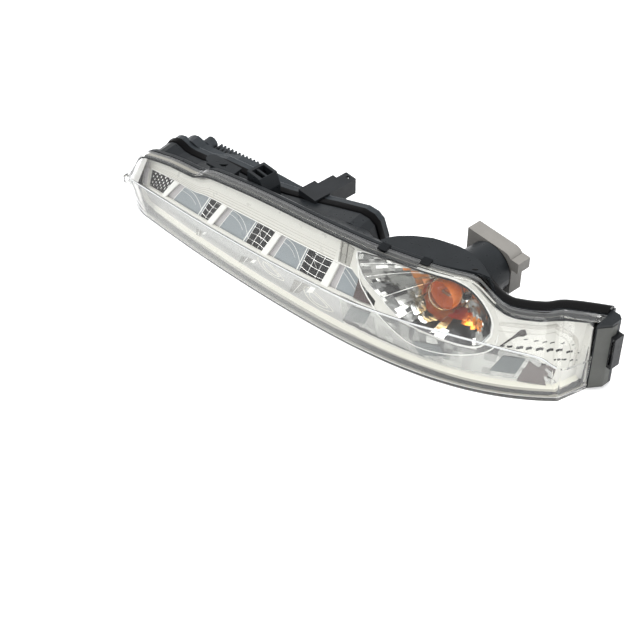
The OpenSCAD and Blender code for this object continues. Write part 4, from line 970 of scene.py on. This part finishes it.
def covered(corners):
    """Mask of the facets whose middle lies in a polygon, in millimetres from the axis of the bulb."""
    mask = np.zeros(shape, bool)
    for (x0, y0), (x1, y1) in zip(corners, corners[1:] + corners[:1]):
        crosses = (y0 > up) != (y1 > up)
        mask ^= crosses & (right < (x1 - x0) * (up - y0) / (y1 - y0 + 1e-9) + x0)
    return mask


# Painted reflections of what the facets would mirror, as polygons in front of the bulb: the bright room with grey bars
# in the upper left, upright stripes below them, a dark pit with one bright streak, and the bulb in four places
blocks = rng.choice([0.98, 0.92, 0.84, 0.7], (shape[0] // 2, shape[1] // 4), p=[0.4, 0.3, 0.2, 0.1])
tone = np.kron(blocks, np.ones((2, 4)))
PAINTED_REFLECTIONS = [
    (0.55, [(-58.2, 15.6), (-48, 9.5), (-38.4, 4.8), (-45.8, 6.1), (-55.9, 10.1)]),
    (0.62, [(-39.6, 1.4), (-29, -0.9), (-28.8, 1.2), (-39, 3.8)]),
    (0.22, [(-45.3, 0.8), (-28.7, -5.0), (-22.8, -8.2), (-24.7, -9.2), (-33, -5.8), (-43.4, -1.4)]),
    (0.12, [(-45.9, -0.8), (-42.5, -1.8), (-31.7, -7), (-23.8, -15), (-30, -18)]),
    (0.95, [(-34.2, -5.6), (-31.1, -6.8), (-20.9, -20), (-24, -20)]),
    (0.3, [(-31, -6.8), (-23.3, -9.8), (-13, -20), (-20.9, -20)]),
    (0.93, [(-23.3, -9.8), (-18.4, -11.4), (-8.4, -22), (-13, -20)]),
    (0.1, [(-18.4, -11.4), (-16.2, -12.8), (-7, -22), (-8.4, -22)]),
    (0.5, [(-16.2, -12.8), (-8.5, -15.3), (-5, -19), (-7, -22)]),
    (0.05, [(-8.5, -16.4), (4, -18.3), (8.2, -17.6), (23.4, -18.8), (33, -16.2), (33, -30), (2, -30), (-4, -22)]),
    (1.0, [(2.1, -17.6), (8.2, -17.6), (16, -25), (10, -25)]),
    (0.7, [(12, -12.8), (26.5, 3.8), (33.2, -0.3), (28.6, -9.7)]),
    (0.2, [(31, -11), (37.7, -6), (39.2, -16.5), (35, -19)]),
    (1.0, [(28.1, -19), (32.5, -15.9), (38, -19.5), (32.4, -24)])]
for value, corners in PAINTED_REFLECTIONS:
    tone[covered(corners)] = value
# The amber spots are the painted reflection of the bulb in the facets
PAINTED_BULB_REFLECTIONS = [[(-35.8, 4.2), (-27, 1.6), (-18.4, -2.9), (-13.5, -6.4), (-3, -11), (4.5, -12.6), (17.9, -13),
          (7.3, -16.3), (-3.2, -16.1), (-13.2, -11.8), (-22.3, -5.8)],
         [(-7.8, -14.4), (3.9, -15.6), (30.6, -11.2), (31.9, -16.4), (23.4, -18.8), (8.2, -17.6), (-0.2, -17.6)],
         [(6.6, 16.5), (13.5, 13), (22, 5.1), (16.9, -3.4), (10, -6)]]
painted_bulb_reflection_parts = np.any([covered(corners) for corners in PAINTED_BULB_REFLECTIONS], 0)
amber = np.where(painted_bulb_reflection_parts, rng.choice([1.0, 0.9, 0.75], shape), 0.0)
facets_painted_reflections = facets_with_painted_reflections("chrome_facets_painted_reflections")
faceted("facets_painted_reflections", front, back, tone, amber, facets_painted_reflections)
# Thin ridges between some of the facets, from the rim towards the bulb
ridge_t = np.linspace(0.03, 0.8, 16)
net_lines = bowl_points(ridge_t, FACET_N, 2.4 * np.ones((16, 1)))
towards = bowl_points(ridge_t, FACET_N, 3.4 * np.ones((16, 1))) - net_lines
ridges = [half_round(net_lines[:, k], towards[:, k], 0.5, 0.35) for k in (7, 11, 62, 68, 73, 79, 83)]
ridge_chrome = vapour_metal("chrome_plated_ridges", ("#DDDEDE", "#F4F4F3"), (0.08, 0.16), 6.0)
add_piece("bowl_ridges", ridges, ridge_chrome, "lamp")
# Three of the ridges are dark: painted shade of grooves between the facets
ridges = [half_round(net_lines[:, k], towards[:, k], 0.6, 0.3) for k in (9, 70, 76)]
ridge_painted_shade = vapour_metal("chrome_dark_painted_groove_shade", ("#56585A", "#7C7E80"), (0.1, 0.2), 6.0)
add_piece("bowl_grooves", ridges, ridge_painted_shade, "lamp")
bowl_chrome = vapour_metal("bright_chrome_plated", ("#D2D5D8", "#E3E5E7"), (0.05, 0.12))
dress("indicator_reflector", bowl_chrome)
rim, rim_s, rim_z = rim_points(40, 0.0)
add_piece("bowl_rim", [half_round(on_trim(rim_s, rim_z), outward(rim_s, rim_z), 1.5, 0.9, loop=True)],
          gloss_white_and_painted_reflection, "lamp")

# Below the crease the right half of the trim is plated too and pressed with large facets
ARC = [(0.6015, 78.3), (0.612, 68.5), (0.6241, 59.4), (0.645, 52.0), (0.6692, 44.5), (0.6982, 33.0),
       (0.7336, 23.5), (0.7665, 21.4), (0.8013, 22.5), (0.835, 25.4), (0.8657, 29.9), (0.886, 34.4),
       (0.899, 40.5), (0.9012, 48.0)]
FACET_S = np.linspace(0.588, 0.998, 34) + 0.004 * np.sin(np.arange(34) * 2.3)
share = np.array([0.1, 0.32, 0.55, 0.78, 0.985])
high = np.minimum(trim_crease(FACET_S), rim_low(np.clip(FACET_S, 0.602, 0.89)) - 1.5)
high = np.where(FACET_S < 0.62, trim_crease(FACET_S), high)
low = section(FACET_S, TRIM_DEPTH)["zb"]
facet_z = low[:, None] + (high - low)[:, None] * share
facet_s = FACET_S[:, None] + 0.016 * (share - 0.5) * np.sin(np.arange(len(FACET_S)) * 2.1)[:, None]
fold = np.add.outer(np.arange(len(FACET_S)), np.arange(len(share))) % 2
front = on_trim(facet_s, facet_z, -0.2 - 0.4 * fold)
back = on_trim(facet_s, facet_z, -0.05)
shape = (len(FACET_S) - 1, len(share) - 1)
# Each facet's tone is a painted reflection: random tones, darker ones above the arc, and one bright painted streak
tone = rng.choice([0.98, 0.9, 0.82, 0.7], shape, p=[0.4, 0.3, 0.2, 0.1])
above_arc = facet_z[:-1, :-1] + 3 > np.interp(facet_s[:-1, :-1], *np.array(ARC).T)
tone[above_arc] = rng.choice([0.72, 0.6, 0.52, 0.45], above_arc.sum())
tone[above_arc & (np.abs(facet_s[:-1, :-1] - 0.786) < 0.012)] = 0.98
faceted("lower_facets", front, back, tone, np.zeros(shape), facets_painted_reflections)
# Larger panes of the plated face, with the reflection of the dark side of the room painted on them
painted_reflection_dark = lacquer("chrome_painted_reflection_dark", ("#565C5E", "#676D6F"), (0.08, 0.16), 0.8)
painted_reflection_brown = lacquer("chrome_painted_reflection_brown", ("#5F5857", "#716B6A"), (0.08, 0.16), 0.8)
add_piece("plated_panes_painted_reflection_dark", [trim_patch(corners, 0.66) for corners in (
    [(0.7626, 13.8), (0.8142, 20.8), (0.8013, 30.6), (0.7465, 26.5)],
    [(0.8947, 17.1), (0.9366, 17.1), (0.9495, 31.4), (0.9141, 32.9)],
    [(0.5854, 13.8), (0.6434, 24.5), (0.6595, 40.0), (0.6144, 38.5)])], painted_reflection_dark, "lamp")
add_piece("plated_panes_painted_reflection_brown", [trim_patch(corners, 0.66) for corners in (
    [(0.9398, 10.6), (0.984, 8.5), (0.978, 20.5), (0.9559, 30.0)],
    [(0.968, 20.0), (0.992, 14.5), (0.996, 24.0), (0.975, 27.5)])], painted_reflection_brown, "lamp")
# An umber painted reflection on the plated face left of the bowl
painted_reflection_umber = lacquer("chrome_painted_reflection_umber", ("#4B4040", "#6B5D5D"), (0.1, 0.2), 0.5)
add_piece("plated_panes_painted_reflection_umber", [trim_patch([(0.618, 46.5), (0.656, 46.5), (0.632, 57.0), (0.619, 62.0)], 0.06)],
          painted_reflection_umber, "lamp")
add_piece("bowl_arc", [trim_bead(ARC, 1.0, 0.6, 90, 0.5)], gloss_white_and_painted_reflection, "lamp")

# ---- Tail -----------------------------------------------------------------------------------
# The white end of the trim with a chrome tray in a pocket, three rows of dark slots, a dark fin
# and two raised lines that run round the corner side by side, whose pale grey is a painted shadow.
side_chrome = vapour_metal("satin_chrome_plated", ("#B9BCBF", "#CFD1D3"), (0.14, 0.26))
dress("side_reflector", side_chrome)
SLOTS = [(0.9105, 40.1, 0.0036, 1.1), (0.9225, 39.9, 0.0042, 1.5), (0.9385, 39.4, 0.0052, 2.0),
         (0.9527, 38.9, 0.0044, 2.0), (0.9688, 37.9, 0.0054, 2.1), (0.9842, 35.9, 0.0048, 2.0),
         (1.1557, 34.3, 0.1, 1.9), (1.465, 31.4, 0.1, 1.7), (1.76, 28.6, 0.05, 1.1),
         (0.9463, 45.0, 0.003, 0.7), (0.9624, 43.7, 0.0034, 0.8), (0.9753, 42.3, 0.0032, 0.8),
         (0.9865, 40.5, 0.0034, 0.8), (1.2105, 38.8, 0.05, 0.8), (1.5391, 36.4, 0.04, 0.6),
         (1.05, 28.4, 0.03, 1.1), (1.1686, 27.6, 0.04, 1.5), (1.3523, 26.2, 0.05, 1.3),
         (1.6, 23.8, 0.06, 1.2), (1.78, 22.4, 0.03, 0.8)]
slots = []
for s, z, half, height in SLOTS:
    u = np.linspace(-1, 1, 9)
    si, zi = s + half * u, z + 0.12 * height * np.sin(3 * u + s * 40)
    slots.append(half_round(on_trim(si, zi), outward(si, zi), height, 0.25))
slot_black = grained_plastic("abs_slot_matt_black", ("#0C0C0D", "#161617"), 0.5, 0.02, (0.5, 0.7))
add_piece("tail_slots", slots, slot_black, "lamp")
fin_s, fin_z = run([(0.9076, 40.0), (0.921, 44.6), (0.934, 48.4), (0.9455, 50.0)], 24)
fin_w = np.interp(np.linspace(0, 1, 24), [0, 0.55, 0.8, 1], [0.5, 2.0, 5.2, 4.4])
fin_up = outward(fin_s, fin_z)
fin_place = on_trim(fin_s, fin_z)
fin_side = np.cross(np.gradient(fin_place, axis=0), fin_up)
fin_side /= np.linalg.norm(fin_side, axis=1, keepdims=True)
a = np.linspace(0, np.pi, 9)[None, :, None]
fin = fin_place[:, None] + fin_w[:, None, None] / 2 * np.cos(a) * fin_side[:, None] + 0.8 * np.sin(a) * fin_up[:, None]
fin_brown = grained_plastic("abs_fin_dark_brown", ("#140D0E", "#241A1A"), 0.5, 0.02, (0.45, 0.6), 0.05)
add_piece("tail_fin", [solid(fin)], fin_brown, "lamp")
# The grey of these lines is a painted shadow beside the relief
relief_painted_shadow = lacquer("abs_pale_grey_painted_shadow", ("#CBC9C3", "#D5D3CE"), (0.25, 0.35))
add_piece("tail_lines", [trim_bead([(0.9, 55.5), (0.94, 54.3), (0.9721, 52.4), (1.05, 49.8), (1.378, 45.0),
                                    (1.62, 39), (1.7, 30.0), (1.7, 17.0)], 3.0, 0.45, 120),
                         trim_bead([(0.9, 50.5), (0.94, 49.2), (0.9753, 47.8), (1.05, 45.5), (1.2717, 41.6),
                                    (1.45, 35.5), (1.52, 28.0), (1.52, 19.0)], 0.6, 0.3, 120)],
          relief_painted_shadow, "lamp")

# ---- Bulb and holder ------------------------------------------------------------------------
# Blown amber glass with a wall of 0.6 mm, its filament on two wires, a drawn cap, and a nylon
# holder with a rubber seal that a turn of 45 degrees locks in the neck.
BULB_Y, BULB_R, BULB_WALL, STEM_R, CAP_Y = -6.0, 12.5, 0.6, 7.5, 10.0


def turned(profile, count=56):
    """Rings round the axis of the bulb from pairs of depth and radius: (r cos a, depth, r sin a)."""
    y, r = np.array(profile, float).T[:, :, None]
    a = np.linspace(0, 2 * np.pi, count, endpoint=False)
    return np.stack([AXIS_X + r * np.cos(a), AXIS_Y + y + 0 * a, AXIS_Z + r * np.sin(a)], -1)


def globe(radius, stem):
    """Depth and radius of a ball that runs into a stem: radius sin b, then the stem's own radius."""
    b = np.linspace(0.002, math.pi - math.asin(stem / radius), 26)
    return [(BULB_Y - radius * math.cos(v), radius * math.sin(v)) for v in b]


glass = globe(BULB_R, STEM_R) + [(CAP_Y, STEM_R), (CAP_Y, STEM_R - BULB_WALL)]
glass += globe(BULB_R - BULB_WALL, STEM_R - BULB_WALL)[::-1]
amber_glass = clear_plastic("glass_blown_amber", "#FDEBC8", 0.02, {"IOR": 1.2})
add_piece("bulb_globe", [solid(turned(glass))], amber_glass, "bulb_unit",
          replaces=["bulb_glass"])
# Amber lacquer baked on the inside of the rear half of the glass
coat = [(y, r) for y, r in globe(BULB_R - 0.8, STEM_R - 0.8) if y > BULB_Y - 5.0]
coat += [(CAP_Y - 0.4, STEM_R - 0.8), (CAP_Y - 0.4, STEM_R - 1.0)]
coat += [(y, r) for y, r in globe(BULB_R - 1.0, STEM_R - 1.0)[::-1] if y > BULB_Y - 5.0]
amber_coat = lacquer("lacquer_baked_amber", ("#CC7410", "#FBA22E"), (0.2, 0.35), 0.0)
add_piece("bulb_coat", [solid(turned(coat), loop=True)], amber_coat, "bulb_unit")
t = np.linspace(0, 1, 90)
coil = np.stack([AXIS_X + 7 * (t - 0.5), AXIS_Y + BULB_Y + 0.9 * np.cos(t * 60), AXIS_Z + 0.9 * np.sin(t * 60)], 1)


def wire(points, radius, count=6):
    """Round wire along points: the circle radius (cos a, sin a) across each step."""
    step = np.gradient(points, axis=0)
    step /= np.linalg.norm(step, axis=1, keepdims=True)
    side = np.cross(step, [0.13, 0.31, 0.94])
    side /= np.linalg.norm(side, axis=1, keepdims=True)
    over = np.cross(step, side)
    a = np.linspace(0, 2 * np.pi, count, endpoint=False)[None, :, None]
    return solid(points[:, None] + radius * (np.cos(a) * side[:, None] + np.sin(a) * over[:, None]))


posts = [np.array([[AXIS_X + x, AXIS_Y + BULB_Y + v, AXIS_Z] for v in (0, 5, 10, CAP_Y - BULB_Y)]) * [1, 1, 1]
         for x in (-3.5, 3.5)]
tungsten = vapour_metal("tungsten_drawn", ("#8A8C90", "#A0A2A6"), (0.3, 0.45), 3.0)
add_piece("bulb_filament", [wire(coil, 0.22)] + [wire(p, 0.3) for p in posts], tungsten, "bulb_unit")
cap_metal = vapour_metal("tinplate_drawn", ("#A9ACB0", "#C2C5C8"), (0.25, 0.4), 5.0)
dress("bulb_cap", cap_metal)
holder_grey = grained_plastic("nylon_moulded_warm_grey", ("#827F7A", "#94918C"), 0.8, 0.06, (0.38, 0.52))
dress("bulb_holder", holder_grey)
rubber_black = grained_plastic("rubber_moulded_black", ("#111112", "#1B1B1C"), 0.6, 0.08, (0.5, 0.68))
dress("holder_seal", rubber_black)
dress("cover_seal", rubber_black)
brass = vapour_metal("brass_stamped", ("#B9923E", "#D2AC58"), (0.25, 0.38), 3.0)
dress("holder_contacts", brass)
dress("connector_pins", brass)

# ---- Rear cover, heat sink, connector, clips ------------------------------------------------
cover_black = grained_plastic("glass_filled_nylon_black", ("#2A2E31", "#3A3E42"), 0.9, 0.06, (0.3, 0.46))
dress("rear_cover", cover_black)
screw_steel = vapour_metal("steel_black_zinc", ("#2C2C2E", "#454547"), (0.3, 0.45), 2.5)
dress("cover_screws", screw_steel)
dress("heat_sink_screws", screw_steel)
sink_metal = vapour_metal("aluminium_die_cast", ("#3A3D40", "#54585C"), (0.4, 0.55), 6.0)
dress("heat_sink", sink_metal)
plug_black = grained_plastic("polyester_moulded_black", ("#1E2022", "#2C2E31"), 0.7, 0.05, (0.3, 0.44))
dress("connector", plug_black)
# The lens clips are dark steel; their dark colour also paints the shade of the pockets beside them
clip_steel_painted_shade = vapour_metal("spring_steel_dark_painted_shade", ("#1F2123", "#303336"), (0.25, 0.4), 3.0)
dress("lens_clips", clip_steel_painted_shade)
end_clip_black = grained_plastic("acetal_moulded_black", ("#131416", "#1D1F21"), 0.6, 0.04, (0.25, 0.4))
dress("end_clip", end_clip_black)
dress("vent_cap", rubber_black)
# Grey label-free plate that closes the end wall: moulded polypropylene, welded on its slanting face
END_X, END_Y = 187.52, 50.64
plate_grey = grained_plastic("polypropylene_moulded_slate", ("#555653", "#666763"), 0.8, 0.05, (0.4, 0.55))
foot, head = np.array([0.8, 1.2]), np.array([6.75, 10.2])
out = np.array([0.834, -0.552])
plate = []
for z in (2.0, 9.0, 20.0, 40.0, 56.0, 59.5):
    ring = [foot + out * 0.02, foot + out * 0.4, head + out * 0.4, head + [0.4, 0.2], [7.15, 15.5], [6.77, 15.5]]
    plate.append([[END_X + x, END_Y + y, z] for x, y in ring])
add_piece("end_plate", [solid(np.array(plate))], plate_grey, "lamp")
# Lip of the cover's rubber seal: it wraps round the joint of the box and the cover. Its deep black is partly the
# rubber's own and partly the groove's shade, painted on.
BOX_X, BOX_Y, BOX_DIR, BOX_LEN = -180.25, LEFT_Y + float(section(0, 0)["nt"]) + 19.78, 10.999, 208.0
BOX_LINE = [(0, 0.648), (0.02, 0.675), (0.041, 0.684), (0.0625, 0.663), (0.082, 0.639), (0.115, 0.63),
            (0.173, 0.636), (0.216, 0.668), (0.26, 0.7), (0.365, 0.705), (0.5, 0.682), (0.577, 0.71),
            (0.716, 0.784), (0.798, 0.835), (0.913, 0.898)]
box_ring = [(x * BOX_LEN, z * FRONT_H) for x, z in BOX_LINE]
box_ring += [(BOX_LEN - 10, 0.886 * FRONT_H), (BOX_LEN - 5, 0.841 * FRONT_H), (BOX_LEN, 0.682 * FRONT_H),
             (BOX_LEN, 14), (BOX_LEN - 5, 8), (5, 8), (0, 13), (-3, 0.34 * FRONT_H), (-3, 0.52 * FRONT_H),
             (-2, 0.614 * FRONT_H)]
box_ring = np.array(box_ring)


def round_box(grow, depth):
    """Points round the box at a depth, grown outwards along the mean normal of each corner."""
    step = np.roll(box_ring, -1, 0) - np.roll(box_ring, 1, 0)
    out = np.stack([-step[:, 1], step[:, 0]], 1)
    q = box_ring + out / np.linalg.norm(out, axis=1, keepdims=True) * grow
    c, d = math.cos(math.radians(BOX_DIR)), math.sin(math.radians(BOX_DIR))
    return np.stack([BOX_X + q[:, 0] * c - depth * d, BOX_Y + q[:, 0] * d + depth * c, q[:, 1]], 1)


def round_the_box(profile):
    """Closed band round the box with a profile of (growth, depth) corners."""
    return solid(np.stack([round_box(g, w) for g, w in profile], 1), loop=True)


# Deep black rubber, darkened further with the painted shade of the groove
lip_black_painted_shade = grained_plastic("rubber_deep_black_painted_groove_shade", ("#060607", "#0B0B0C"), 0.6, 0.03, (0.35, 0.5), 0.06)
add_piece("seal_lip", [round_the_box([(0.1, 5.4), (1.0, 6.2), (1.3, 8.6), (1.0, 11.4), (0.1, 12.2)])],
          lip_black_painted_shade, "lamp")
# A paler grey band along the cover's edge: a painted highlight on its chamfer
cover_edge_painted_highlight = grained_plastic("nylon_edge_painted_highlight", ("#5A5E61", "#6A6E71"), 0.6, 0.02, (0.25, 0.35))
add_piece("cover_edge", [round_the_box([(-0.5, 16.7), (0.12, 16.75), (0.3, 17.0), (0.1, 17.3), (-0.5, 17.3)])],
          cover_edge_painted_highlight, "lamp")
# Glossy bead along the rim of the housing, from the bend of the box to the end wall
bead_s = np.concatenate([np.linspace(0.815, 0.995, 70), np.linspace(1.03, 1.97, 12)])
rim_c = section(bead_s, 0)
a = np.linspace(0, np.pi, 9)[None]
wide = np.interp(bead_s, [0.815, 0.86, 1.97], [1.2, 4.2, 4.6])[:, None]
tall = np.interp(bead_s, [0.815, 0.86, 1.97], [0.3, 3.4, 4.6])[:, None]
column = {k: v[:, None] for k, v in rim_c.items()}
bead = at(column, column["nt"] + SKIRT_LEN + 1.9 + wide + wide * np.cos(a),
          column["zt"] - 0.6 + tall * np.sin(a))
gloss_black = grained_plastic("polypropylene_polished_black", ("#070708", "#0E0E0F"), 0.8, 0.01, (0.14, 0.22), 0.16)
add_piece("rim_bead", [solid(bead)], gloss_black, "lamp")
